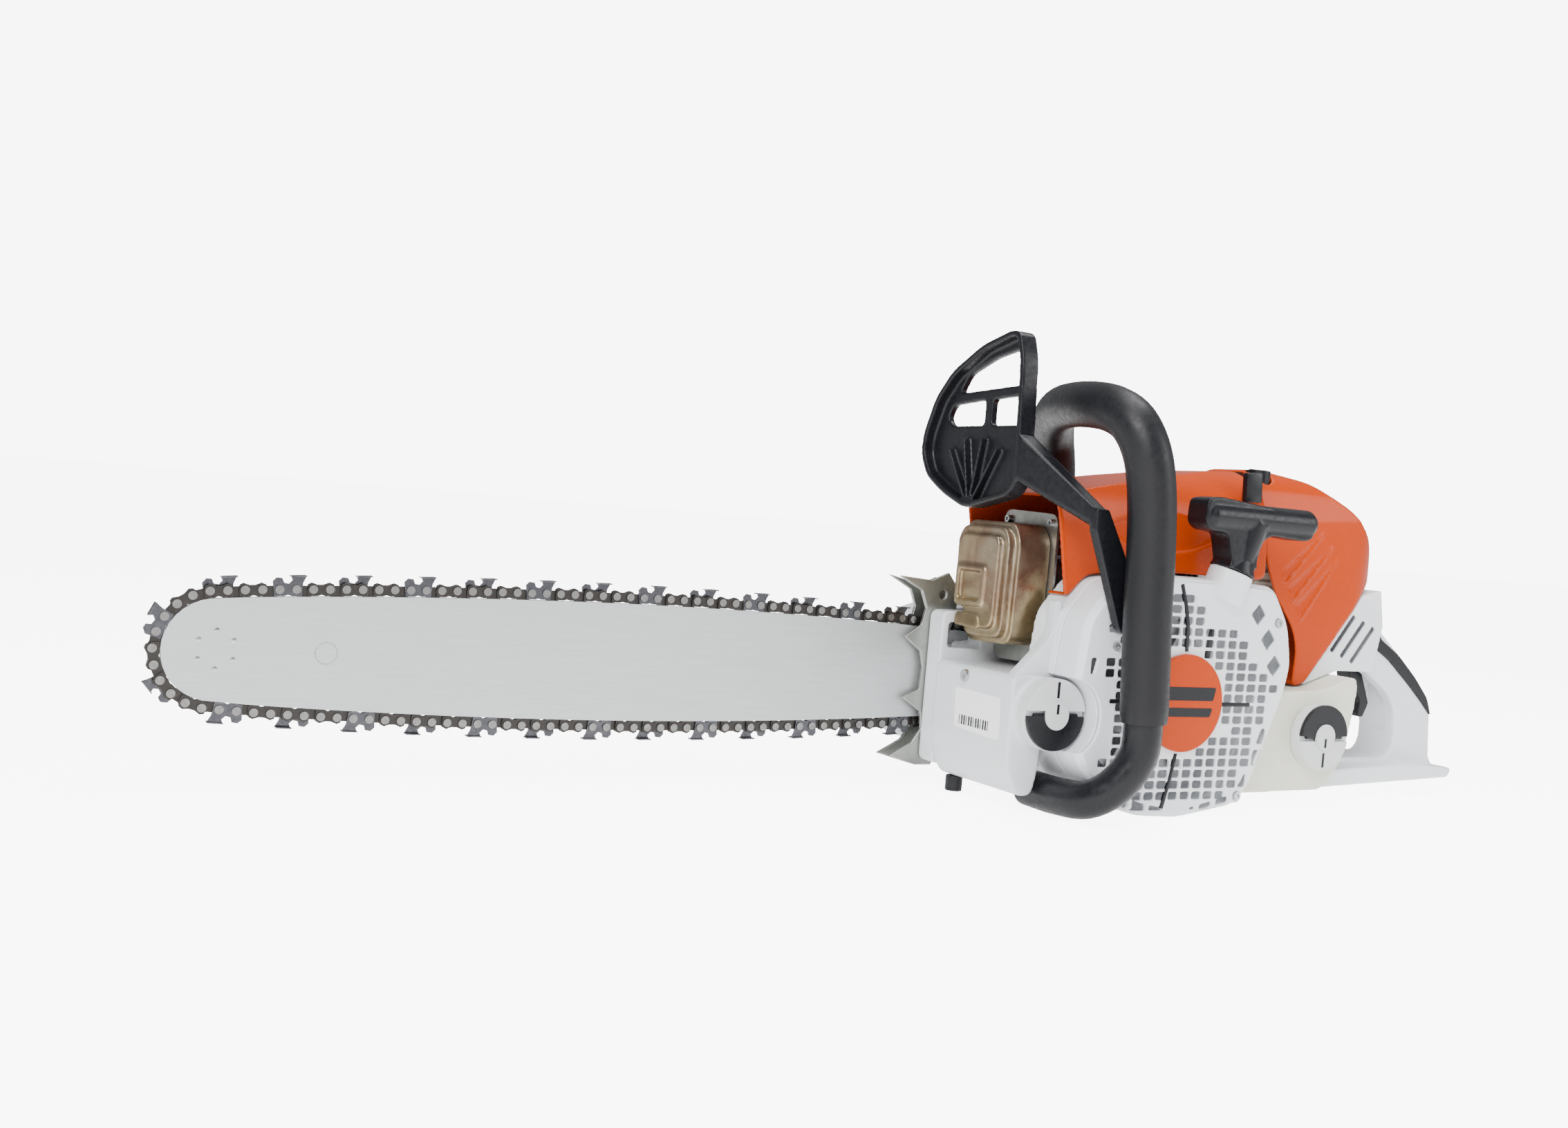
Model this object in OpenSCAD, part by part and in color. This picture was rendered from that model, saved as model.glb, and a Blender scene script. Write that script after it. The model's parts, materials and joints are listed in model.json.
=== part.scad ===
// Petrol chainsaw with a long guide bar, in millimetres.
// Bar points along -X, starter side is -Y, drive side is +Y, +Z is up.
// Every module works from the crankshaft axis in the bar's plane; seat() moves
// that point to its place over the ground.

/* [Guide bar] */
// Distance from the drive axis to the centre of the bar's nose
bar_reach = 597; // [450:1:760]
// Radius of the bar's nose
nose_r = 29.4; // [27:0.2:32]
// How far the bar's edge bows out at mid length
bar_crown = 8.4; // [0:0.2:12]
// Thickness of the bar
bar_t = 4.4; // [3.8:0.1:5]
// Depth of the groove round the bar's edge
groove_d = 7; // [6:0.5:9]
// Distance between the two bar studs
stud_gap = 36; // [30:1:44]
// Radius of a bar stud
stud_r = 4; // [3:0.5:5]

/* [Chain] */
// Pitch of one drive link
link_pitch = 19.05; // [16.5:0.05:20.5]
// Thickness of a drive link
link_t = 1.4; // [1.2:0.05:1.5]
// Thickness of a side strap
strap_t = 1.2; // [1:0.1:1.4]
// Height of the rivets above the bar's edge
rivet_lift = 4.3; // [4.2:0.1:5]
// Teeth on the drive rim
rim_teeth = 7; // [7:1:8]
// Teeth on the nose sprocket
nose_teeth = 11; // [10:1:12]

/* [Engine] */
// Bore of the cylinder
bore_d = 52; // [44:0.5:56]
// Stroke of the piston
stroke = 37; // [30:0.5:39]
// Length of the connecting rod between centres
rod_len = 56; // [54:1:58]
// Distance from the bar's plane to the cylinder's centre plane
cyl_off = 58; // [56:1:66]
// Radius of the clutch drum
drum_r = 38; // [34:0.5:40]
// Radius of the flywheel with its fan
wheel_r = 62; // [50:1:66]

/* [Body] */
// Distance from the bar's plane to the starter's seam
case_w = 118; // [114:1:150]
// Height of the crankshaft over the ground
axis_h = 79; // [79:1:90]
// Wall of the moulded covers
wall = 2.6; // [2:0.1:3.2]
// Depth of the starter cover past its seam
starter_d = 25; // [24:0.5:32]
// Radius of the round plate on the starter cover
badge_r = 33; // [24:0.5:36]
// Radius of the filler caps
cap_r = 24; // [19:0.5:25]

/* [Handles] */
// Radius of the front handle's rubber sheath
sheath_r = 15.5; // [14.5:0.5:17]
// Radius of the front handle's tube
tube_r = 12.5; // [10:0.5:13]
// Width of the rear handle
grip_w = 36; // [30:1:42]
// Clearance of a pivot in its hole
pivot_gap = 0.06; // [0.03:0.01:0.1]

/* [Hidden] */
$fn = 48;

// --- Derived sizes -------------------------------------------------------
seam_y = -case_w;
face_y = seam_y - starter_d;
crown_len = bar_reach - 77;
groove_w = link_t + 0.3;
rivet_r = 1.5;
strap_in = link_t / 2 + 0.05;
strap_out = strap_in + strap_t;
chain_half = strap_out + 0.9;
tang = groove_d - 2.4;
rim_pitch_r = link_pitch / 4 / sin(90 / rim_teeth);
drum_in = drum_r - 2;
stub_r = 5;
journal_r = 8.5;
web_r = 42;
chamber_r = web_r + 2;
pin_r = 7;
pin_z = stroke / 2;
wrist_z = pin_z + rod_len;
crown_z = wrist_z + 16;
sleeve_z = 49;
stud_x = [-88, -88 + stud_gap];
leg_gap = 9.5;
leg_y = face_y - leg_gap - sheath_r;
far_leg_y = sheath_r - 3.5;
cap_y = seam_y - 11;
oil_cap_at = [-95, -12];
fuel_cap_at = [154, -25];
guard_pivot = [-58, 56];
guard_arm_y = face_y - 8;
floor_z = -axis_h;
cover_l = seam_y + 8;
grip_y = -cyl_off + 4;
grip_lean = [6, 17];
grip_foot = [39, seam_y - 20, 90];
butterfly_at = [84, -cyl_off, 84];
trigger_at = [258, 22];
lock_at = [252, 44];

// --- Helpers -------------------------------------------------------------
// Moves the working origin from the crankshaft to the ground under the cylinder
module seat() translate([0, cyl_off, axis_h]) children();
// A flat outline in X and Z, made solid from y0 to y1
module side(y0, y1) translate([0, y1, 0]) rotate([90, 0, 0]) linear_extrude(y1 - y0) children();
// A flat outline in Y and Z, made solid from x0 to x1
module across(x0, x1) translate([x0, 0, 0]) rotate([90, 0, 90]) linear_extrude(x1 - x0) children();
module rod_y(r, y0, y1, x = 0, z = 0) translate([x, y1, z]) rotate([90, 0, 0]) cylinder(r = r, h = y1 - y0);
module rod_x(r, x0, x1, y = 0, z = 0) translate([x0, y, z]) rotate([0, 90, 0]) cylinder(r = r, h = x1 - x0);
module rod_z(r, z0, z1, x = 0, y = 0) translate([x, y, z0]) cylinder(r = r, h = z1 - z0);
module block(lo, hi) translate(lo) cube(hi - lo);
module ring_y(r_out, r_in, y0, y1, x = 0, z = 0) difference() {
    rod_y(r_out, y0, y1, x, z);
    rod_y(r_in, y0 - 1, y1 + 1, x, z);
}
module hex_y(r, y0, y1, x, z) translate([x, y1, z]) rotate([90, 0, 0]) cylinder(r = r, h = y1 - y0, $fn = 6);

function unit(v) = v / norm(v);
function rev(p) = [for (i = [len(p) - 1:-1:0]) p[i]];
function shift(p, v) = [for (q = p) q + v];
// Rounds each corner of an outline, starting r before the corner
function soft(p, r, n = 4) = [for (i = [0:len(p) - 1])
    let (b = p[i], u = p[(i + len(p) - 1) % len(p)] - b, w = p[(i + 1) % len(p)] - b,
         k = min(r, 0.45 * norm(u), 0.45 * norm(w)))
    for (j = [0:n]) let (t = j / n) b + unit(u) * k * pow(1 - t, 2) + unit(w) * k * t * t];
// Moves an anticlockwise outline inwards by d
function inset(p, d) = [for (i = [0:len(p) - 1])
    let (e = unit(p[i] - p[(i + len(p) - 1) % len(p)]), f = unit(p[(i + 1) % len(p)] - p[i]),
         m = [-e[1], e[0]], q = [-f[1], f[0]])
    p[i] + (m + q) * d / (1 + m * q)];
function arc(r, a0, a1, n) = [for (i = [0:n]) let (a = a0 + (a1 - a0) * i / n) r * [cos(a), sin(a)]];
// A smooth curve through hand-set points
function bend(a, b, c, d, t) = 0.5 * (2 * b + (c - a) * t + (2 * a - 5 * b + 4 * c - d) * t * t
    + (3 * b - a - 3 * c + d) * t * t * t);
function smooth(p, n) = concat([for (i = [0:len(p) - 2]) for (j = [0:n - 1])
    bend(p[max(i - 1, 0)], p[i], p[i + 1], p[min(i + 2, len(p) - 1)], j / n)], [p[len(p) - 1]]);
// Rings of a round tube along a path; no stretch of the path runs along ref
function rings(path, r, sides, ref) = [for (i = [0:len(path) - 1])
    let (t = unit(path[min(i + 1, len(path) - 1)] - path[max(i - 1, 0)]),
         u = unit(cross(ref, t)), v = cross(t, u))
    for (j = [0:sides - 1]) path[i] + r * (u * cos(360 * j / sides) + v * sin(360 * j / sides))];
module tube(path, r, sides = 20, ref = [1, 0, 0]) {
    n = len(path);
    polyhedron(rings(path, r, sides, ref), concat([[for (j = [0:sides - 1]) j]],
        [for (i = [0:n - 2]) for (j = [0:sides - 1]) let (k = (j + 1) % sides)
            [i * sides + j, (i + 1) * sides + j, (i + 1) * sides + k, i * sides + k]],
        [[for (j = [sides - 1:-1:0]) (n - 1) * sides + j]]));
}

// --- Guide bar and chain -------------------------------------------------
function edge_h(s) = nose_r + bar_crown * pow(max(0, sin(180 * s / crown_len)), 0.8);
top_run = [for (i = [0:26]) let (s = crown_len * i / 26) [s - bar_reach, edge_h(s)]];
nose_arc = [for (a = [100:10:260]) [nose_r * cos(a) - bar_reach, nose_r * sin(a)]];
tail = [[-60, 27], [-42, 20], [-32, 12], [-32, -12], [-42, -20], [-60, -27]];
bar_line = concat(nose_arc, [for (p = top_run) [p[0], -p[1]]], rev(tail), rev(top_run));

module bar_slots() {
    slot_h = stud_r + 0.4;
    side(-bar_t, bar_t) polygon(soft([[stud_x[0] - 22, -slot_h], [stud_x[1] + 11, -slot_h],
        [stud_x[1] + 11, slot_h], [stud_x[0] - 22, slot_h]], 4));
    for (z = [-18, 18]) rod_y(3.6, -bar_t, bar_t, stud_x[0] - 8, z);
}
module guide_bar() seat() color("#d4d8da") difference() {
    side(-bar_t / 2, bar_t / 2) polygon(bar_line);
    side(-groove_w / 2, groove_w / 2) difference() {
        translate([-bar_reach - 60, -60]) square([bar_reach + 60, 120]);
        polygon(inset(bar_line, groove_d));
    }
    ring_y(nose_r + 2, 9, -groove_w / 2, groove_w / 2, -bar_reach);
    bar_slots();
}
module nose_sprocket() seat() color("#8d9093") {
    step = 360 / nose_teeth;
    root_r = nose_r + rivet_lift - tang - rivet_lift - 0.9;
    side(-link_t / 2, link_t / 2) translate([-bar_reach, 0]) difference() {
        polygon([for (i = [0:nose_teeth - 1]) for (q = [[-0.28, 0], [-0.16, 3.6], [0.16, 3.6], [0.28, 0]])
            let (a = 180 - link_pitch * 90 / (PI * (nose_r + rivet_lift)) / 2 * 1 - step * (i + 0.5 + q[0]))
            (root_r + q[1]) * [cos(a), sin(a)]]);
        circle(r = 9 + pivot_gap);
    }
}
// The line that the rivets follow, once round from the nose's front end
rivet_line = concat(
    [for (a = [180:-10:100]) [(nose_r + rivet_lift) * cos(a) - bar_reach, (nose_r + rivet_lift) * sin(a)]],
    [for (p = top_run) p + [0, rivet_lift]],
    [for (a = [82:-8:-82]) rim_pitch_r * [cos(a), sin(a)]],
    rev([for (p = top_run) [p[0], -p[1] - rivet_lift]]),
    [for (a = [260:-10:180]) [(nose_r + rivet_lift) * cos(a) - bar_reach, (nose_r + rivet_lift) * sin(a)]]);
function reach(p, i, d) = i >= len(p) ? [] : let (e = d + (i == 0 ? 0 : norm(p[i] - p[i - 1])))
    concat([e], reach(p, i + 1, e));
mile = reach(rivet_line, 0, 0);
line_x = [for (i = [0:len(mile) - 1]) [mile[i], rivet_line[i][0]]];
line_z = [for (i = [0:len(mile) - 1]) [mile[i], rivet_line[i][1]]];
chain_len = mile[len(mile) - 1];
cutter_sets = round(chain_len / link_pitch / 2);
links = 2 * cutter_sets;
rivet_step = chain_len / links / 2;
function rivet(i) = let (d = (i % (2 * links)) * rivet_step) [lookup(d, line_x), lookup(d, line_z)];
// Places a flat link between rivet i and the next one, with +Y away from the bar
module on_chain(i) {
    a = rivet(i);
    b = rivet(i + 1);
    translate((a + b) / 2) rotate(atan2(b[1] - a[1], b[0] - a[0])) children();
}
module rivet_holes() for (s = [-1, 1]) translate([s * rivet_step / 2, 0]) circle(r = rivet_r + 0.05, $fn = 16);
module drive_links() seat() color("#3a3531") for (i = [0:links - 1])
    side(-link_t / 2, link_t / 2) on_chain(2 * i) difference() {
        polygon([[-7.4, -1.5], [-4.4, -3.4], [-3.2, -rivet_lift - tang], [0.6, -rivet_lift - tang],
            [4.4, -3.4], [7.4, -1.5], [7.4, 2.2], [5.6, 3.6], [1.6, 2.1], [-1.6, 2.1], [-5.6, 3.6], [-7.4, 2.2]]);
        rivet_holes();
    }
strap = [[-7.6, -3.9], [-2, -3.9], [0, -3.2], [2, -3.9], [7.6, -3.9], [8, 0], [7, 3], [5, 3.9], [1.6, 2.6],
    [-1.6, 2.6], [-5, 3.9], [-7, 3], [-8, 0]];
cutter_side = [[-7.6, -3.9], [-2, -3.9], [0, -3.2], [2, -3.9], [7.6, -3.9], [8, 0], [8.6, 4], [10.4, 9.6],
    [4.6, 9.9], [1.8, 9.3], [2.6, 6], [0.6, 3.4], [-2.2, 4], [-3.2, 8.2], [-6.4, 8.8], [-8.6, 5], [-8, 0]];
function cutter_face(i) = i % 4 == 0 ? -1 : i % 4 == 2 ? 1 : 0;
module plate(face) side(face < 0 ? -strap_out : strap_in, face < 0 ? -strap_in : strap_out) children();
module tie_straps() seat() color("#453c33") for (i = [0:links - 1]) for (face = [-1, 1])
    if (face != cutter_face(i)) plate(face) on_chain(2 * i + 1) difference() {
        polygon(strap);
        rivet_holes();
    }
module cutters() seat() color("#4a4a50") for (i = [0:2:links - 1]) {
    face = cutter_face(i);
    plate(face) on_chain(2 * i + 1) difference() {
        polygon(cutter_side);
        rivet_holes();
    }
    side(face < 0 ? -strap_out - 1.6 : -3.2, face < 0 ? 3.2 : strap_out + 1.6) on_chain(2 * i + 1)
        polygon([[1.6, 9.3], [10.4, 9.6], [10.4, 10.8], [1.4, 10.5]]);
}
module chain_rivets() seat() color("#b9b2a6") for (i = [0:2 * links - 1]) {
    p = rivet(i);
    rod_y(rivet_r, -strap_out, strap_out, p[0], p[1], $fn = 16);
    for (y = [-chain_half, strap_out]) rod_y(2.5, y, y + chain_half - strap_out, p[0], p[1], $fn = 16);
}

// --- Drive side ----------------------------------------------------------
module bar_fixings() seat() color("#c2c5c7") for (x = stud_x) {
    rod_y(stud_r, -20, 46, x);
    difference() {
        union() {
            hex_y(7.5, 38.1, 47, x, 0);
            rod_y(8.5, 38.1, 40, x);
        }
        rod_y(stud_r + 0.02, 37, 48, x);
    }
}
module spike(y0, y1, top) side(y0, y1) difference() {
    polygon([[-120, -66], [-143, -60], [-124, -50], [-117, -40], [-119, -28], [-135, -18], [-121, -12],
        [-120, 4], [-123, 15], [-137, 25], [-124, 34], [-121, 46], [-126, 58], [-146, 68], [-118, top - 6],
        [-104, top], [-94, top - 12], [-96, 40], [-101, 26], [-101, -52], [-106, -66]]);
    for (z = [-56, 56]) translate([-108, z]) circle(r = 3.2);
}
module bumper_spikes() seat() color("#a7aaa4") {
    spike(-9, -6.3, 72);
    spike(5.6, 8.2, 68);
}
cover_line = [[-122, -50], [-60, -56], [-20, -62], [30, -60], [56, -38], [64, 0], [58, 30], [34, 50],
    [-20, 54], [-95, 50], [-122, 40]];
module clutch_cover() seat() color("#e6e8ea") difference() {
    union() {
        difference() {
            side(8.6, 38) polygon(soft(cover_line, 12));
            side(8, 38 - wall) polygon(soft(inset(cover_line, wall), 10));
            block([-140, 0, -48], [-118, 36, 38]);
        }
        for (x = stud_x) rod_y(9, 2.8, 37, x);
        side(5.6, 10) polygon([[-92, 46], [-20, 53], [-20, 50], [-92, 43]]);
    }
    for (x = stud_x) rod_y(stud_r + 0.3, 0, 40, x);
    for (x = [-10:12:38]) block([x, 30, -30], [x + 5, 40, 26]);
}
module chain_catcher() seat() color("#b8bcc0") difference() {
    block([-92, -5.8, -60], [-74, 8, -53]);
    rod_z(2.6, -61, -52, -83, 2);
}
module rim_sprocket() seat() color("#7c7f82") difference() {
    union() {
        for (y = [-5, 1.4]) rod_y(rim_pitch_r - 4.6, y, y + 3.6);
        rod_y(rim_pitch_r - rivet_lift - tang - 1, -5, 5);
    }
    rod_y(8.8 + 0.03, -6, 6);
}
module clutch_drum() seat() color("#85878a") difference() {
    union() {
        ring_y(drum_r, drum_in, -26, -7);
        rod_y(drum_r - 0.5, -9, -7);
        rod_y(8.8, -9, 5.2);
    }
    rod_y(7.2, -30, 6);
}
module needle_bearing() seat() color("#9fa2a4") ring_y(7.17, stub_r + 0.03, -8.6, 5);
module clutch_hub() seat() color("#8a7a60") difference() {
    union() {
        rod_y(13, -24, -10.5);
        for (a = [30:120:270]) rotate([0, a, 0]) block([-5, -22, 0], [5, -12, 26]);
    }
    rod_y(7, -30, -8);
}
module clutch_shoes() seat() color("#6f7275") for (a = [90:120:330]) rotate([0, a, 0]) difference() {
    side(-23, -11) intersection() {
        difference() {
            circle(r = drum_in - 0.7);
            circle(r = 15);
        }
        polygon([[-7, 10], [7, 10], [26, 40], [-26, 40]]);
    }
    ring_y(28, 26, -19, -15);
}
module e_clip() seat() color("#7c7f82") ring_y(8, stub_r + 0.02, 5.6, 6.6);
module brake_band() seat() color("#8f9295") difference() {
    ring_y(drum_r + 1.9, drum_r + 0.9, -23, -11);
    rotate([0, -40, 0]) block([0, -30, -6], [60, 0, 6]);
}
module oil_pump() seat() color("#3b3b3d") difference() {
    block([-14, -33.4, -40], [14, -27.4, -9]);
    rod_y(journal_r + 1.5, -40, 0);
}

// --- Engine --------------------------------------------------------------
front_line = [[-118, -62], [-44, -62], [-44, 30], [-92, 46], [-118, 46]];
deck_y = seam_y + 30.4;
recess_y = -33.6;
module crankcase_right() seat() color("#e3e6e8") difference() {
    union() {
        rod_y(chamber_r + 6, -cyl_off, -32);
        block([-36, -cyl_off, 30], [36, -20, sleeve_z - 1]);
        side(-26, -9.2) polygon(soft(front_line, 6));
        side(-9.2, -2.7) polygon(soft([[-94, -24], [-47, -24], [-47, 24], [-94, 24]], 6));
        rod_y(drum_r + 7, recess_y - 2, -12);
        block([-43.6, -cyl_off, -53], [-38, -26, 12]);
        block([-44, -cyl_off, floor_z], [44, -20, -44]);
        side(-cyl_off, -40) polygon([[38, -50], [56, -50], [56, 40], [38, 46]]);
    }
    rod_y(chamber_r, -cyl_off - 1, -45);
    rod_y(20, -46, -34);
    rod_y(10, -46, 0);
    rod_y(drum_r + 4.5, recess_y, 0);
    rod_z(bore_d / 2 + 4.3, 24, 60, 0, -cyl_off);
    for (x = stud_x) rod_y(stud_r + 0.02, -20, 0, x);
    side(-30, -4) polygon(soft([[-112, 38], [-112, 20], [-84, 20], [-84, 38]], 2));
}
tank_line = [[-110, -68], [-97, -68], [-95, -53], [-44, -53], [-44, 12], [-120, 12], [-120, -50]];
tank_rear = [[-110, -68], [-97, -68], [-95, -53], [-chamber_r - 7, -53], [-chamber_r - 7, 12], [-120, 12], [-120, -50]];
tank_front = [[-110, -68], [-97, -68], [-93, -50], [-93, 12], [-120, 12], [-120, -50]];
module crankcase_left() seat() color("#e3e6e8") difference() {
    union() {
        rod_y(chamber_r + 6, seam_y + 32, -cyl_off);
        block([-36, deck_y, 30], [36, -cyl_off, sleeve_z - 1]);
        side(seam_y + 4, deck_y) polygon(soft(tank_front, 6));
        side(deck_y, -cyl_off) polygon(soft(tank_line, 6));
        side(-cyl_off - 1, -26) polygon(soft(tank_rear, 6));
        rod_y(cap_r - 1, seam_y - 1, deck_y + 2.2, oil_cap_at[0], oil_cap_at[1]);
        block([-44, deck_y, floor_z], [44, -cyl_off, -44]);
        side(seam_y + 32, -cyl_off) polygon([[38, -50], [56, -50], [56, 40], [38, 46]]);
    }
    rod_y(chamber_r, -71, -cyl_off + 1);
    rod_y(20, seam_y + 31, -70.5);
    rod_z(bore_d / 2 + 4.3, 24, 60, 0, -cyl_off);
    side(seam_y + 8, -30) polygon(soft([[-108, -60], [-100, -60], [-98, -46], [-98, 8], [-116, 8], [-116, -46]], 4));
    side(deck_y + 4, -30) polygon(soft([[-100, -46], [-56, -46], [-56, 8], [-100, 8]], 4));
    rod_y(cap_r - 7, seam_y - 2, seam_y + 12, oil_cap_at[0], oil_cap_at[1]);
}
module main_bearings() seat() color("#a9acae") for (y = [-82, -45.2]) difference() {
    rod_y(19.97, y, y + 11);
    rod_y(journal_r + 0.03, y - 1, y + 12);
}
module crankshaft() seat() color("#7f8285") {
    rod_y(journal_r, seam_y + 6, -70);
    for (y = [-70, -54]) rod_y(web_r, y, y + 8);
    rod_y(journal_r, -46, -26);
    rod_y(6.98, -26, -10);
    rod_y(stub_r, -10, 7.6);
}
module connecting_rod() seat() color("#8b8e91") {
    rod_y(pin_r, -61.6, -54.4, 0, pin_z);
    difference() {
    union() {
        rod_y(pin_r + 4, -61, -55, 0, pin_z);
        rod_y(7.5, -61, -55, 0, wrist_z);
        side(-60, -56) polygon([[-6, pin_z], [6, pin_z], [5, wrist_z], [-5, wrist_z]]);
    }
    rod_y(pin_r + 0.03, -70, -50, 0, pin_z);
    rod_y(5.03, -70, -50, 0, wrist_z);
    }
}
module piston() seat() color("#b6b8ba") {
    piston_r = bore_d / 2 - 0.05;
    difference() {
        rod_z(piston_r, crown_z - 34, crown_z, 0, -cyl_off);
        rod_z(piston_r - 4, crown_z - 40, crown_z - 8, 0, -cyl_off);
        rod_y(5.03, -cyl_off - 40, -cyl_off + 40, 0, wrist_z);
    }
    rod_y(5, -cyl_off - 20, -cyl_off + 20, 0, wrist_z);
}
module finned_block() {
    sleeve_r = bore_d / 2 + 4;
    rod_z(sleeve_r, sleeve_z - 2, crown_z + 14, 0, -cyl_off);
    block([-34, -cyl_off - 29, sleeve_z - 0.96], [34, -cyl_off + 34, sleeve_z + 5]);
    for (i = [0:6]) translate([0, -cyl_off, sleeve_z + 12 + 7 * i]) linear_extrude(2)
        polygon(soft([[-40, -29], [40, -29], [40, 42], [-40, 42]], 9));
    rod_x(15, -46, -20, -cyl_off, 74);
    rod_x(17, 20, 50, -cyl_off, 84);
}
module engine_cylinder() seat() color("#aeb1b3") difference() {
    finned_block();
    rod_z(bore_d / 2, 0, crown_z + 2, 0, -cyl_off);
    rod_z(5, crown_z, crown_z + 20, 0, -cyl_off);
    rod_x(11, -50, -20, -cyl_off, 74);
    rod_x(12, 20, 56, -cyl_off, 84);
}
module spark_plug() seat() color("#dcdcd8") {
    rod_z(4.9, crown_z + 2, crown_z + 15.1, 0, -cyl_off);
    rod_z(8, crown_z + 15, crown_z + 22, 0, -cyl_off, $fn = 6);
    rod_z(4, crown_z + 22, crown_z + 32, 0, -cyl_off);
}
module plug_boot() seat() color("#1e1e20") difference() {
    union() {
        rod_z(8, crown_z + 22.4, crown_z + 36, 0, -cyl_off);
        rod_x(4, 0, 32, -cyl_off, crown_z + 30);
    }
    rod_z(4.02, crown_z + 20, crown_z + 33, 0, -cyl_off);
}
module flywheel() seat() color("#9b9ea1") difference() {
    union() {
        rod_y(wheel_r - 10, seam_y + 16, seam_y + 26);
        ring_y(wheel_r - 4, wheel_r - 14, seam_y + 12, seam_y + 28);
        for (a = [0:30:359]) rotate([0, a, 0]) block([wheel_r - 30, seam_y + 9, -1.2], [wheel_r, seam_y + 17, 1.2]);
        rod_y(15, seam_y + 8, seam_y + 20);
    }
    rod_y(journal_r, seam_y, seam_y + 40);
}
module ignition_coil() seat() color("#26272a") difference() {
    block([-18, seam_y + 12, wheel_r - 4], [18, seam_y + 26, wheel_r + 16]);
    rod_y(wheel_r + 0.5, seam_y, seam_y + 40);
}
starter_line = [[-60, -66], [-30, -77], [8, -78.6], [58, -71], [72, -56], [96, 5], [101, 28],
    [95, 56], [78, 82], [40, 84], [-10, 84], [-64, 79], [-86, 54], [-92, 6], [-84, -40]];
module cap_notch(y0, y1) rod_y(cap_r + 2, y0, y1, oil_cap_at[0], oil_cap_at[1]);
module fan_wall(y0, y1) {
    difference() {
        side(y0, y1) polygon(soft(starter_line, 8));
        side(y0 - 1, y1 + 1) polygon(soft(inset(starter_line, wall), 6));
        cap_notch(y0 - 1, y1 + 1);
    }
    intersection() {
        side(y0, y1) polygon(soft(starter_line, 8));
        ring_y(cap_r + 2 + wall, cap_r + 2, y0, y1, oil_cap_at[0], oil_cap_at[1]);
    }
}
module fan_shroud() seat() color("#e3e6e8") {
    fan_wall(seam_y + 0.2, seam_y + 30);
    difference() {
        side(seam_y + 28.4, seam_y + 30) polygon(soft(starter_line, 8));
        rod_y(wheel_r - 8, seam_y, seam_y + 40);
        cap_notch(seam_y, seam_y + 40);
    }
}
module grille() {
    pitch = 15;
    for (x = [-75:pitch:90]) for (z = [-67.5:pitch:75]) {
        d = norm([x, z]);
        if (d > badge_r + 11 && d < 84 && x + z < 105 && norm([x, z] - oil_cap_at) > cap_r + 14 && z - x < 112
            && norm([x - 34, z - 74]) > 24)
            translate([x, z]) square(pitch - 4, center = true);
    }
    for (p = [[66, 64], [78, 44], [84, 24]]) translate(p) rotate(45) square(9, center = true);
}
module grip_axis() translate(grip_foot) rotate([grip_lean[0], grip_lean[1], 0]) children();
starter_screws = [[83, 57], [58, -64], [-60, 36], [-52, -58]];
module starter_cover() seat() color("#e9ebed") difference() {
    union() {
        fan_wall(face_y + 4, seam_y - 0.2);
        difference() {
            union() {
                side(face_y + 2, face_y + 4.01) polygon(soft(inset(starter_line, 0.8), 8));
                side(face_y, face_y + 2.01) polygon(soft(inset(starter_line, 3), 8));
            }
            side(face_y + wall, face_y + 5) polygon(soft(inset(starter_line, wall + 0.8), 6));
            cap_notch(face_y - 1, seam_y);
            side(face_y - 1, face_y + 6) grille();
        }
        rod_y(5, face_y + 1, seam_y - 3);
        for (p = starter_screws) rod_y(5, face_y + 0.4, face_y + 6, p[0], p[1]);
        grip_axis() translate([0, 0, -22]) cylinder(r = 15, h = 22);
        rod_y(4, guard_arm_y - 0.5, face_y + 3, guard_pivot[0], guard_pivot[1]);
    }
    grip_axis() translate([0, 0, -30]) cylinder(r = 3, h = 40);
    side(face_y + wall, seam_y) polygon([[20, 40], [60, 40], [60, 68], [20, 68]]);
    for (p = starter_screws) rod_y(3, face_y - 1, face_y + 1.8, p[0], p[1]);
}
module starter_badge() seat() color("#e8641f") difference() {
    rod_y(badge_r, face_y - 4, face_y - 0.1);
    ring_y(badge_r - 3, badge_r - 4, face_y - 5, face_y - 3.4);
}
module rope_rotor() seat() color("#2b2b2e") difference() {
    union() {
        for (y = [-18, -8]) rod_y(30, seam_y + y, seam_y + y + 2);
        rod_y(25, seam_y - 18, seam_y - 6);
    }
    rod_y(5 + pivot_gap, face_y, seam_y);
}
module rewind_spring() seat() color("#70757a") for (r = [10:3:25])
    ring_y(r + 0.8, r, face_y + wall + 0.3, seam_y - 18.4);
module starter_rope() seat() color("#e8e4d8") {
    tilt = [sin(grip_lean[1]) * cos(grip_lean[0]), -sin(grip_lean[0]), cos(grip_lean[1]) * cos(grip_lean[0])];
    tube([[27.6, seam_y - 12, 2], [28.2, seam_y - 12.5, 14], [29.4, seam_y - 14, 30], grip_foot - 26 * tilt,
        grip_foot - 14 * tilt, grip_foot, grip_foot + 14 * tilt, grip_foot + 28 * tilt], 1.9, 8, [0, 1, 0]);
}
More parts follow.
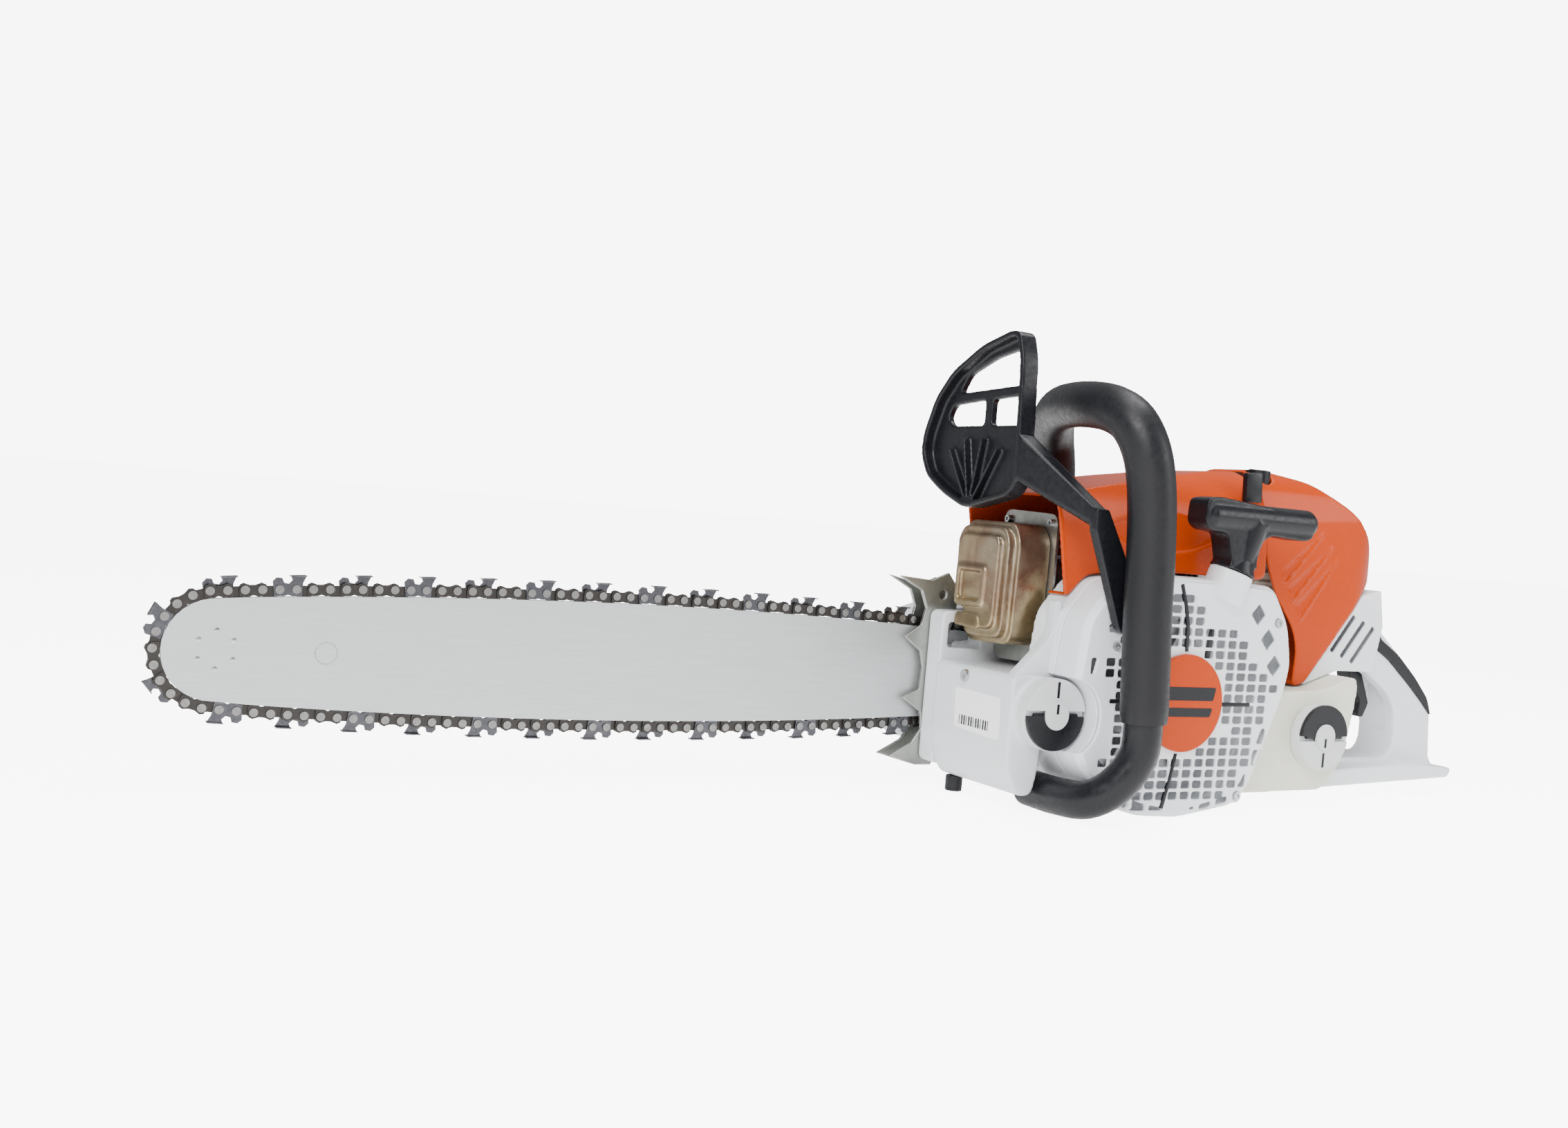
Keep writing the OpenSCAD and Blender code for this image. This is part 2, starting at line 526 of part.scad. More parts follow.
module starter_grip() seat() color("#232326") difference() {
    union() {
        grip_axis() translate([0, 0, 0.5]) cylinder(r1 = 16, r2 = 12, h = 9);
        grip_axis() translate([0, 0, 9.4]) cylinder(r = 12, h = 28);
        rod_x(10, 8, 100, grip_foot[1] - 5, grip_foot[2] + 37);
        for (e = [[8, -90], [100, 90]]) translate([e[0], grip_foot[1] - 5, grip_foot[2] + 37]) rotate([0, e[1], 0])
            cylinder(r1 = 10, r2 = 7, h = 5);
    }
    grip_axis() translate([0, 0, -1]) cylinder(r = 2.4, h = 32);
    rod_x(6.5, -2, 16, grip_foot[1] - 5, grip_foot[2] + 37);
}
module muffler() seat() color("#a98a5c") {
    case = [[-80, 28], [-29, 27], [-27.6, 48], [-16, 50], [-15, 100], [-24, 111.6], [-74, 111], [-82, 100]];
    difference() {
        union() {
            across(-100, -73.4) polygon(soft(case, 10));
            across(-106, -99.9) polygon(soft(inset(case, 4), 10));
            across(-110, -105.9) polygon(soft(inset(case, 10), 8));
        }
        across(-99, -76) polygon(soft(inset(case, 2.4), 8));
        rod_x(10, -80, -70, -cyl_off, 74);
    }
}
module muffler_flange() seat() color("#b9bcbe") difference() {
    union() {
        across(-73, -71) polygon(soft([[-86.4, 16], [-27, 15], [-27, 121], [-86.4, 119]], 8));
        rod_x(14, -71.1, -46.3, -cyl_off, 74);
    }
    rod_x(10, -80, -40, -cyl_off, 74);
    for (p = [[-81, 23], [-81, 113], [-33, 114]]) rod_x(2.6, -80, -60, p[0], p[1]);
}
shroud_side = [[-80, 63], [-63, 80.6], [-10, 85.6], [40, 85.6], [79, 83.6], [101, 86], [97, 163], [60, 160],
    [8, 152], [-52, 141], [-93, 132]];
shroud_front = [[cover_l, 50], [-5, 50], [-5, 128], [-12, 148], [-34, 163], [-62, 168], [-88, 158],
    [cover_l + 6, 140], [cover_l, 122]];
module top_shroud() seat() color("#e8641f") difference() {
    intersection() {
        side(cover_l, -5) polygon(soft(shroud_side, 6));
        across(-100, 110) polygon(soft(shroud_front, 10));
    }
    intersection() {
        union() for (x = [-5, 5]) side(cover_l + wall, -5 - wall) polygon(shift(shroud_side, [x, -wall - 0.6]));
        across(-110, 120) polygon(soft(inset(shroud_front, wall), 8));
    }
    block([-112, -88, 20], [-72, -12, 113.4]);
}
cover_side = [[148, 8], [160.4, 10.2], [218, 80], [240, 92], [228, 118], [198, 142], [158, 160], [117, 166],
    [99, 165], [110, 100], [122, 76], [143, 52], [149, 38]];
cover_plan = [[90, cover_l + 9], [215, cover_l + 11], [240, cover_l + 28], [246, -60], [236, -24], [210, -14], [90, -10]];
module filter_cover() seat() color("#e8641f") difference() {
    intersection() {
        side(cover_l, 0) polygon(soft(cover_side, 8));
        translate([0, 0, -10]) linear_extrude(200) polygon(soft(cover_plan, 14));
        across(80, 260) polygon(soft([[cover_l + 9, 0], [-10, 0], [-10, 120], [-20, 150], [-44, 168],
            [-76, 168], [cover_l + 16, 156], [cover_l + 9, 128]], 10));
    }
    intersection() {
        union() for (x = [-7, 0]) side(cover_l + 9 + wall, -10 - wall) polygon(shift(inset(cover_side, wall), [x, 0]));
        across(90, 236) polygon([[cover_l + 12, 0], [-13, 0], [-13, 120], [-24, 146], [-46, 164], [-74, 164],
            [cover_l + 19, 152], [cover_l + 12, 126]]);
    }
    side(cover_l, 0) polygon([[140, 0], [160, 8.6], [219, 80], [228, 74], [190, 0]]);
    rod_z(9.6, 150, 180, 112, -82);
}
module cover_lock() seat() color("#161618") {
    rod_z(9, 152, 167, 112, -82);
    block([104, -84, 166.9], [120, -80, 169]);
}
module air_filter() seat() color("#d9d5c6") difference() {
    union() {
        rod_x(30, 118, 168, -55, 106);
        for (a = [0:15:359]) translate([122, -55, 106]) rotate([a, 0, 0]) block([0, -1, 29], [42, 1, 33]);
        rod_x(24, 116.1, 119, -55, 106);
    }
    rod_x(20, 110, 160, -55, 106);
}
base_side = [[160.8, 8.8], [198, 20.6], [236.4, 20.6], [243.6, 56], [238, 84], [218.6, 78.6]];
module filter_base() seat() color("#e9ebed") difference() {
    side(cover_l + 13, -18) polygon(soft(base_side, 2));
    side(cover_l + 13 + wall, -18 - wall) polygon(inset(base_side, wall));
    for (i = [0:2]) side(cover_l, cover_l + 20) polygon(shift([[196, 36], [200, 34], [222, 62], [218, 64]], [i * 11 - 8, -i * 4]));
}
module throttle_body() seat() color("#9a9da0") difference() {
    union() {
        rod_x(20, 66, 104, butterfly_at[1], butterfly_at[2]);
        block([104, butterfly_at[1] - 28, 78], [109, butterfly_at[1] + 28, 134]);
        rod_x(22, 104, 116, -55, 106);
    }
    rod_x(16, 60, 120, butterfly_at[1], butterfly_at[2]);
    rod_y(3 + pivot_gap, butterfly_at[1] - 40, butterfly_at[1] + 40, butterfly_at[0], butterfly_at[2]);
}
module throttle_plate() seat() color("#c9a24a") {
    rod_y(3, butterfly_at[1] - 27, butterfly_at[1] + 27, butterfly_at[0], butterfly_at[2]);
    rod_x(15.6, butterfly_at[0] - 0.8, butterfly_at[0] + 0.8, butterfly_at[1], butterfly_at[2]);
    side(butterfly_at[1] + 23, butterfly_at[1] + 25) translate([butterfly_at[0], butterfly_at[2]])
        polygon(soft([[-5, -5], [5, -5], [4, 20], [-4, 20]], 3));
}
module intake_boot() seat() color("#232325") difference() {
    union() {
        rod_x(19, 50.4, 66, butterfly_at[1], butterfly_at[2]);
        for (x = [52, 57, 62]) rod_x(22, x, x + 2.4, butterfly_at[1], butterfly_at[2]);
    }
    rod_x(12, 40, 70, butterfly_at[1], butterfly_at[2]);
}
module rubber_mounts() seat() color("#1d1d1f") {
    for (i = [0:4]) rod_z(20 - 3 * (i % 2), 8 + 8 * i, 16.1 + 8 * i, 122, cover_l + 26);
    for (y = [-48, -76]) rod_x(9, 56.2, 63.4, y, -30);
    rod_z(6, floor_z, -68.2, -104, -36);
}
tank_side = [[62, -68], [170, -66], [188, -44], [197, 0], [197, 19.8], [160, 7.8], [66, 6]];
module fuel_tank() seat() color("#e4e2d0") difference() {
    union() {
        side(seam_y, -12) polygon(soft(tank_side, 8));
        rod_y(cap_r - 1, seam_y - 1, seam_y + 6, fuel_cap_at[0], fuel_cap_at[1]);
    }
    side(seam_y + 3, -15) polygon(soft(inset(tank_side, 3), 6));
    rod_y(cap_r - 7, seam_y - 2, seam_y + 10, fuel_cap_at[0], fuel_cap_at[1]);
    side(seam_y - 1, seam_y + 34) polygon(soft(inset(starter_line, -1.5), 8));
}
handle_out = [[188.5, -44.3], [204, -50], [286, -50], [295, -46], [298, -36], [296, -12], [286, 2], [256, 20], [237, 20.6],
    [244.2, 56], [262, 58], [302, 28], [325, 7], [338, -10], [342, -50], [346, -54], [343, -62], [190, -70], [170.8, -66.4]];
module rear_handle() seat() color("#e9ebed") {
    lever_pins();
    handle_shell();
}
module handle_shell() difference() {
    union() {
        side(grip_y - grip_w / 2, grip_y + grip_w / 2) polygon(rev(soft(handle_out, 6)));
        intersection() {
            side(seam_y + 26, -8) polygon(soft([[190, -70], [343, -63], [346, -55], [300, -52], [204, -56], [190, -62]], 4));
            translate([0, 0, -80]) linear_extrude(60) polygon([[150, seam_y + 20], [347, seam_y + 20], [347, -64], [304, -4], [150, -4]]);
        }
    }
    side(grip_y - 8, grip_y + 8) polygon([[246, 6], [270, -30], [299, -30], [292, 6], [264, 30], [250, 30]]);
    block([244, grip_y - 8, 28], [276, grip_y + 8, 70]);
}
module lever_pins() for (p = [trigger_at, lock_at]) rod_y(2, grip_y - 12, grip_y + 12, p[0], p[1]);
module handle_cushion() seat() color("#202022") intersection() {
    side(grip_y - grip_w / 2 + 2, grip_y + grip_w / 2 - 2)
        polygon(soft([[278, 46.6], [303, 28.4], [326, 7.4], [339, -10], [343, -8], [330, 14], [306, 34], [280, 52]], 2));
    block([200, -100, -100], [400, 0, 100]);
}
module throttle_trigger() seat() color("#1f1f21") difference() {
    union() {
        side(grip_y - 7, grip_y + 7) polygon(soft([[252, 27], [262, 27], [266, 18], [278, -8], [272, -20],
            [266, -18], [268, -6], [254, 12]], 3));
        rod_y(4, grip_y - 7, grip_y + 7, trigger_at[0], trigger_at[1]);
    }
    rod_y(2 + pivot_gap, grip_y - 20, grip_y + 20, trigger_at[0], trigger_at[1]);
}
module trigger_lock() seat() color("#1f1f21") difference() {
    side(grip_y - 7, grip_y + 7) polygon(soft([[247, 38], [257, 38], [272, 50], [276, 60], [268, 66], [254, 66], [247, 58]], 3));
    rod_y(2 + pivot_gap, grip_y - 20, grip_y + 20, lock_at[0], lock_at[1]);
}
handle_route = [[2, far_leg_y, 112], [0, far_leg_y, 134], [-4, far_leg_y - 2, 158], [-14, 2, 178], [-30, -18, 190], [-46, -46, 195],
    [-62, -80, 195], [-74, -114, 193], [-78, leg_y + 28, 189], [-76, leg_y + 11, 180], [-71, leg_y + 2, 162],
    [-66, leg_y, 138], [-62, leg_y, 100], [-60, leg_y, 60], [-57, leg_y, 20], [-55, leg_y, -10]];
tail_route = [[-55, leg_y, -10], [-56, leg_y + 1, -32], [-66, leg_y + 8, -52], [-77, leg_y + 22, -64],
    [-81, leg_y + 48, -66.5], [-81, leg_y + 78, -66.5]];
module handle_tube() seat() color("#2a2a2d")
    tube(smooth(concat(handle_route, [for (i = [1:5]) tail_route[i]]), 3), tube_r);
module handle_sheath() seat() color("#1c1c1e") difference() {
    tube(smooth(handle_route, 3), sheath_r);
    tube(smooth(concat([[2, far_leg_y, 100]], handle_route, [[-54.6, leg_y + 1, -24]]), 3), tube_r + 0.3);
}
guard_line = [[-97, 140], [-88, 128], [-40, 118], [-12, 128], [10, 140], [19, 156], [18, 170], [6, 196], [-12, 214],
    [-46, 231], [-78, 239], [-87, 237], [-93, 220]];
module guard_window() {
    polygon(soft([[-84, 203], [-12, 199], [-22, 212], [-50, 222], [-82, 228]], 5));
    polygon(soft([[-84, 176], [-52, 176], [-52, 194], [-84, 196]], 4));
    polygon(soft([[-44, 176], [-6, 176], [0, 182], [-6, 191], [-44, 194]], 4));
}
module hand_guard() seat() color("#232326") difference() {
    union() {
        across(-111, -106) difference() {
            polygon(soft(guard_line, 8));
            guard_window();
        }
        across(-119, -110.9) difference() {
            polygon(soft(guard_line, 8));
            polygon(soft(inset(guard_line, 4), 6));
        }
        for (a = [-34, -12, 12, 34]) across(-117, -110.9) translate([-40, 118]) rotate(a) translate([-1, 4]) square([2, 46]);
        hull() {
            across(-119, -106) polygon([[-97, 140], [-92, 140], [-92, 168], [-97, 168]]);
            block([-92, guard_arm_y, 112], [-84, guard_arm_y + 7, 122]);
        }
        hull() {
            block([-94, guard_arm_y, 110], [-84, guard_arm_y + 7, 124]);
            rod_y(12, guard_arm_y, guard_arm_y + 7, guard_pivot[0], guard_pivot[1], $fn = 32);
        }
    }
    rod_y(4 + pivot_gap, guard_arm_y - 1, guard_arm_y + 12, guard_pivot[0], guard_pivot[1]);
}
// A filler cap: its body turns in the neck and its half-round flap folds out
module cap_body(at, up) difference() {
    union() {
        rod_y(cap_r, cap_y + 2, seam_y - 1.4, at[0], at[1]);
        side(cap_y - 1, cap_y + 2.1) translate(at) intersection() {
            circle(r = cap_r);
            translate([-cap_r, up > 0 ? 3 : -cap_r - 3]) square([2 * cap_r, cap_r]);
        }
        rod_y(cap_r - 7.6, seam_y - 1.5, seam_y + 9, at[0], at[1]);
    }
}
module cap_flap(at, up) {
    rod_x(1.4, at[0] - cap_r + 6, at[0] + cap_r - 6, cap_y + 0.4, at[1]);
    side(cap_y - 1, cap_y + 1.8) translate(at) intersection() {
    circle(r = cap_r - 0.6);
    translate([-cap_r, up > 0 ? -cap_r : 0.6]) square([2 * cap_r, cap_r - 0.6]);
    }
}
module oil_cap() seat() color("#dfe1e3") cap_body(oil_cap_at, 1);
module oil_cap_flap() seat() color("#1d1d1f") cap_flap(oil_cap_at, 1);
module fuel_cap() seat() color("#dfe1e3") cap_body(fuel_cap_at, -1);
module fuel_cap_flap() seat() color("#1d1d1f") cap_flap(fuel_cap_at, -1);
module screw_y(x, y, z, r = 3) difference() {
    rod_y(r, y, y + 3, x, z);
    hex_y(1.6, y - 1, y + 1.6, x, z);
}
module case_screws() seat() color("#8f9396") {
    for (p = starter_screws) screw_y(p[0], face_y - 1.2, p[1], 2.9);
    for (p = [[-81, 23], [-81, 113], [-33, 114]]) difference() {
        rod_x(2.5, -76, -70.4, p[0], p[1]);
        rod_x(1.4, -77, -74, p[0], p[1], $fn = 6);
    }
}

guide_bar();
nose_sprocket();
drive_links();
tie_straps();
cutters();
chain_rivets();
bar_fixings();
bumper_spikes();
clutch_cover();
chain_catcher();
case_screws();
rim_sprocket();
clutch_drum();
needle_bearing();
clutch_hub();
clutch_shoes();
e_clip();
brake_band();
oil_pump();
crankcase_right();
crankcase_left();
crankshaft();
main_bearings();
connecting_rod();
piston();
engine_cylinder();
spark_plug();
plug_boot();
flywheel();
ignition_coil();
fan_shroud();
starter_cover();
starter_badge();
rope_rotor();
rewind_spring();
starter_rope();
starter_grip();
muffler();
muffler_flange();
top_shroud();
filter_cover();
cover_lock();
air_filter();
filter_base();
throttle_body();
throttle_plate();
intake_boot();
fuel_tank();
rear_handle();
handle_cushion();
throttle_trigger();
trigger_lock();
handle_tube();
handle_sheath();
hand_guard();
oil_cap();
oil_cap_flap();
fuel_cap();
fuel_cap_flap();
rubber_mounts();
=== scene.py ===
# %% [markdown]
# # A petrol chainsaw, finished on its CAD frame
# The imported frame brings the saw's sub-parts as they were designed, each with its place in its
# own vertices. This lesson gives every surface a finish and swaps the plainest shapes for
# moulded, pressed and rubber ones. Everything is measured from the frame, so the looks follow
# the design when a size changes.

# %% Load the frame
import json
import math

import bpy
from mathutils import Matrix, Vector

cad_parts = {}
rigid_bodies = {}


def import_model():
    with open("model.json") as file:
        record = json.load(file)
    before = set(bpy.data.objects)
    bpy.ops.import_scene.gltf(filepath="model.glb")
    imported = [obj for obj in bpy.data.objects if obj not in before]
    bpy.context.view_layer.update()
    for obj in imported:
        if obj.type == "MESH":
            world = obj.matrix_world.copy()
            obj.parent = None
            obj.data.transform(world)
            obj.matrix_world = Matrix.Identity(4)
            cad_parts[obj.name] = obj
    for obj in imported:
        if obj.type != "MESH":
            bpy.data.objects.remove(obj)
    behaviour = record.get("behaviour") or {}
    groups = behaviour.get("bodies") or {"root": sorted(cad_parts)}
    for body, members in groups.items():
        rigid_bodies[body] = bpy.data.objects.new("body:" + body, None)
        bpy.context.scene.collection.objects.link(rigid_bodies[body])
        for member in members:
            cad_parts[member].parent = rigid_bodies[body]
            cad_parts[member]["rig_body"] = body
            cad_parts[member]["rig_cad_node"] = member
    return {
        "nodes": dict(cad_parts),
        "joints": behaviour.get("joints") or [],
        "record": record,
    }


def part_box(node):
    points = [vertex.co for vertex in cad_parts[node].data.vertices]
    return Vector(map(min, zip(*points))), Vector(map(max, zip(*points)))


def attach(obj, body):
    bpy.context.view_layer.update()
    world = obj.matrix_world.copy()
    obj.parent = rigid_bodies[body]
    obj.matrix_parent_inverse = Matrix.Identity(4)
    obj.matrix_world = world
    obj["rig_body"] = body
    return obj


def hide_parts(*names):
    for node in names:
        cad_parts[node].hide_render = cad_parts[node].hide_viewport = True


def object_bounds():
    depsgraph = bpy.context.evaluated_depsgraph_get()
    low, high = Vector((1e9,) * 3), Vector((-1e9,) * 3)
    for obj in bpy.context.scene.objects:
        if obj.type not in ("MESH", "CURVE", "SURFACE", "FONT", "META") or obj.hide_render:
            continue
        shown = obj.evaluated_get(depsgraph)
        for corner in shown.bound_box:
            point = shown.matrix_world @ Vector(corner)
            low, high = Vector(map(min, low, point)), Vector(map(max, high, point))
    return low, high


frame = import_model()
bounds_at_start = [list(corner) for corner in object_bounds()]
nodes = frame["nodes"]
joint = {j["name"]: j for j in frame["joints"]}
print("sub-parts:", len(nodes), "joints:", len(joint))

# %% [markdown]
# A chainsaw is drawn from its crankshaft: every size in the works is a distance from the shaft's
# centre line and from the plane of the guide bar. at() turns such a distance, in millimetres,
# into a point of the frame. It reads both datums from the frame instead of repeating them.

# %% Datums: the shaft and the bar plane
MM = 0.001
shaft = Vector(joint["crank_spin"]["pos_m"])
bar_low, bar_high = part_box("guide_bar")
bar_plane = (bar_low[1] + bar_high[1]) / 2


def at(x, y, z):
    """A point x mm behind the shaft, y mm right of the bar and z mm above the shaft."""
    return Vector((shaft.x + x * MM, bar_plane + y * MM, shaft.z + z * MM))


print("shaft at", tuple(round(v, 4) for v in shaft), "bar plane y =", round(bar_plane, 4))

# %% [markdown]
# The camera stands low at the front left of the saw, so the bar runs away to the left and the
# starter side faces the viewer. Its three axes are written as columns of a matrix, which keeps
# the slight lean of a hand-held camera. Depth of field stays off.

# %% Camera
view_right = Vector((0.87278972, -0.48077981, 0.08419548))
view_up = Vector((-0.05863099, 0.06797917, 0.99596247))
view_back = Vector((-0.48456219, -0.87420227, 0.03114292))
camera_data = bpy.data.cameras.new("camera")
camera_data.lens = 35.937
camera_data.sensor_width = 36.0
camera = bpy.data.objects.new("camera", camera_data)
bpy.context.scene.collection.objects.link(camera)
camera.matrix_world = Matrix.Translation((-0.74824, -0.86935, 0.18204)) @ Matrix(
    (view_right, view_up, view_back)
).transposed().to_4x4()
bpy.context.scene.camera = camera
print("camera at", tuple(round(v, 3) for v in camera.location))

# %% [markdown]
# A white sweep and broad lamps: glossy covers show what surrounds them, so the lamps are large
# and soft. A key lamp stands at the upper left, a long one lies overhead, and a weak fill is at
# the right. The floor is pale and plain, and it isn't part of the saw.

# %% Studio
world = bpy.data.worlds.new("studio_air")
world.use_nodes = True
world.node_tree.nodes["Background"].inputs["Color"].default_value = (0.95, 0.97, 1.0, 1)
world.node_tree.nodes["Background"].inputs["Strength"].default_value = 0.42
backdrop = world.node_tree.nodes.new("ShaderNodeBackground")
backdrop.inputs["Color"].default_value = (1, 1, 1, 1)
backdrop.inputs["Strength"].default_value = 8.0
seen = world.node_tree.nodes.new("ShaderNodeLightPath")
either = world.node_tree.nodes.new("ShaderNodeMixShader")
world.node_tree.links.new(seen.outputs["Is Camera Ray"], either.inputs[0])
world.node_tree.links.new(world.node_tree.nodes["Background"].outputs[0], either.inputs[1])
world.node_tree.links.new(backdrop.outputs[0], either.inputs[2])
world.node_tree.links.new(either.outputs[0], world.node_tree.nodes["World Output"].inputs["Surface"])
bpy.context.scene.world = world
floor_level = min(bounds_at_start[0][2], bounds_at_start[1][2])


def soft_lamp(name, spot, target, width, depth, power, tone=(1, 1, 1)):
    data = bpy.data.lights.new(name, "AREA")
    data.shape = "RECTANGLE"
    data.size, data.size_y, data.energy, data.color = width, depth, power, tone
    lamp = bpy.data.objects.new(name, data)
    bpy.context.scene.collection.objects.link(lamp)
    aim = (Vector(target) - Vector(spot)).to_track_quat("-Z", "Y")
    lamp.matrix_world = Matrix.Translation(spot) @ aim.to_matrix().to_4x4()
    return lamp


soft_lamp("key_lamp", (-1.7, -1.5, 1.5), (0, -0.05, 0.1), 1.6, 1.2, 78)
soft_lamp("top_lamp", (0.1, -0.2, 1.9), (0, 0, 0.1), 2.2, 1.0, 46)
soft_lamp("fill_lamp", (1.6, -1.5, 0.9), (0.1, 0, 0.1), 1.2, 1.0, 20)
bpy.ops.object.select_all(action="DESELECT")
bpy.ops.mesh.primitive_plane_add(size=90, location=(0, 20.0, floor_level - 0.0004))
floor = bpy.context.object
floor.name = "floor"
floor_paint = bpy.data.materials.new("floor_paint")
floor_paint.use_nodes = True
floor_shader = floor_paint.node_tree.nodes["Principled BSDF"]
floor_shader.inputs["Base Color"].default_value = (0.93, 0.93, 0.93, 1)
floor_shader.inputs["Roughness"].default_value = 0.65
floor_shader.inputs["Emission Color"].default_value = (1, 1, 1, 1)
looked_at = floor_paint.node_tree.nodes.new("ShaderNodeLightPath")
shine = floor_paint.node_tree.nodes.new("ShaderNodeMapRange")
shine.inputs["To Min"].default_value = 0.9
shine.inputs["To Max"].default_value = 7.0
floor_paint.node_tree.links.new(looked_at.outputs["Is Camera Ray"], shine.inputs["Value"])
floor_paint.node_tree.links.new(shine.outputs[0], floor_shader.inputs["Emission Strength"])
floor.data.materials.append(floor_paint)
print("floor at z =", round(floor_level, 5))

# %% [markdown]
# ## Helpers for hand work
# bpy.ops acts on whatever is selected, and the loaded frame starts out selected. So every step
# clears the selection first and then picks the one piece it works on.


# %% Selection helpers
def deselect():
    if bpy.context.object and bpy.context.object.mode != "OBJECT":
        bpy.ops.object.mode_set(mode="OBJECT")
    bpy.ops.object.select_all(action="DESELECT")


def pick(piece):
    deselect()
    piece.select_set(True)
    bpy.context.view_layer.objects.active = piece
    return piece


def name_it(name):
    piece = bpy.context.object
    piece.name = piece.data.name = name
    return piece


def press(piece, kind, **settings):
    """Adds one modifier with these settings and applies it."""
    pick(piece)
    modifier = piece.modifiers.new(kind.lower(), kind)
    for key, value in settings.items():
        setattr(modifier, key, value)
    bpy.ops.object.modifier_apply(modifier=modifier.name)


def settle(piece, angle=35.0):
    """Puts the place in the mesh and shades soft bends smooth."""
    pick(piece)
    bpy.ops.object.transform_apply(location=True, rotation=True, scale=True)
    bpy.ops.object.shade_smooth_by_angle(angle=math.radians(angle))
    return piece


# %% [markdown]
# A flat outline is the start of many parts: pressed plates, embossed panels, cutters. A circle
# with as many corners as the outline is added, its corners are moved on to the outline, and the
# face is extruded to the thickness. facing says whether the outline lies across the saw's
# length ("x"), along it ("y") or flat ("z").


# %% Plates cut to an outline
def cut_plate(name, outline, back, front, facing="y"):
    spots = {
        "x": lambda a, b, c: at(c, a, b),
        "y": lambda a, b, c: at(a, c, b),
        "z": lambda a, b, c: at(a, b, c),
    }[facing]
    deselect()
    bpy.ops.mesh.primitive_circle_add(vertices=len(outline), radius=0.01, fill_type="NGON")
    plate = name_it(name)
    for vertex, (a, b) in zip(plate.data.vertices, outline):
        vertex.co = spots(a, b, back)
    step = spots(0, 0, front) - spots(0, 0, back)
    bpy.ops.object.mode_set(mode="EDIT")
    bpy.ops.mesh.select_all(action="SELECT")
    bpy.ops.mesh.extrude_region_move(TRANSFORM_OT_translate={"value": step})
    bpy.ops.mesh.select_all(action="SELECT")
    bpy.ops.mesh.normals_make_consistent(inside=False)
    bpy.ops.object.mode_set(mode="OBJECT")
    return plate


def join_cut(piece, tool, way="DIFFERENCE"):
    """Cuts tool from piece, or joins it on, and removes tool."""
    press(piece, "BOOLEAN", operation=way, object=tool, solver="EXACT")
    bpy.data.objects.remove(tool)


def soft_corners(outline, radius, steps=4):
    """The outline with each corner replaced by a short curve."""
    curve = []
    count = len(outline)
    for i, corner in enumerate(outline):
        here = Vector(corner)
        before = Vector(outline[i - 1]) - here
        after = Vector(outline[(i + 1) % count]) - here
        reach = min(radius, 0.45 * before.length, 0.45 * after.length)
        for s in range(steps + 1):
            t = s / steps
            leaving = before.normalized() * reach * (1 - t) ** 2
            arriving = after.normalized() * reach * t * t
            curve.append(tuple(here + leaving + arriving))
    return curve


# %% [markdown]
# ## Moulded skins
# Castings and injection mouldings have no sharp edge anywhere: each corner carries a radius of
# about a millimetre. A bevel on every edge of a CAD mesh is fragile, because its faces are loose
# triangles. A voxel remesh is sturdier: a copy of the sub-part is merged, rebuilt as an even
# grid, and a few rounds of smoothing melt the corners. A last decimate takes back the triangles
# that flat areas don't need.

# %% A moulded skin over a CAD sub-part
moulded_triangles = 0


def moulded(node, voxel, rounds, keep=0.5, cuts=(), adds=()):
    global moulded_triangles
    deselect()
    pick(nodes[node])
    bpy.ops.object.duplicate()
    skin = name_it(node + "_skin")
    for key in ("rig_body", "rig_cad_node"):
        if key in skin:
            del skin[key]
    skin.parent = None
    bpy.ops.object.mode_set(mode="EDIT")
    bpy.ops.mesh.select_all(action="SELECT")
    bpy.ops.mesh.remove_doubles(threshold=0.000002)
    bpy.ops.object.mode_set(mode="OBJECT")
    for tool in adds:
        join_cut(skin, tool, "UNION")
    for tool in cuts:
        join_cut(skin, tool)
    press(skin, "REMESH", mode="VOXEL", voxel_size=voxel * MM)
    press(skin, "SMOOTH", factor=0.5, iterations=rounds)
    press(skin, "DECIMATE", ratio=keep)
    settle(skin, 60)
    moulded_triangles += len(skin.data.polygons)
    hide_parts(node)
    return skin


# %% [markdown]
# ## Finishes
# Three effects are shared by many finishes, so each is a node group: moulding grain, worn edges
# and dust that settles on faces that look up. A group only gives out values and masks. The
# Principled shader stays in each material, which mixes the group's masks to suit.


# %% Node helpers
def new_group(name, inputs, outputs):
    group = bpy.data.node_groups.new(name, "ShaderNodeTree")
    for label, kind, value in inputs:
        socket = group.interface.new_socket(name=label, in_out="INPUT", socket_type=kind)
        socket.default_value = value
    for label, kind in outputs:
        group.interface.new_socket(name=label, in_out="OUTPUT", socket_type=kind)
    return group, group.nodes.new("NodeGroupInput"), group.nodes.new("NodeGroupOutput")


def add_node(tree, kind, **values):
    """A node with plain values set on its own sockets."""
    node = tree.nodes.new(kind)
    for key, value in values.items():
        if key in node.inputs.keys():
            node.inputs[key].default_value = value
        else:
            setattr(node, key, value)
    return node


def wire(tree, source, target):
    tree.links.new(source, target)


# %% [markdown]
# Grain: moulded plastic and cast paint both carry a fine unevenness. Two noises, one fine and
# one broad, give a height for bump, and the broad one also gives a slow change of gloss.

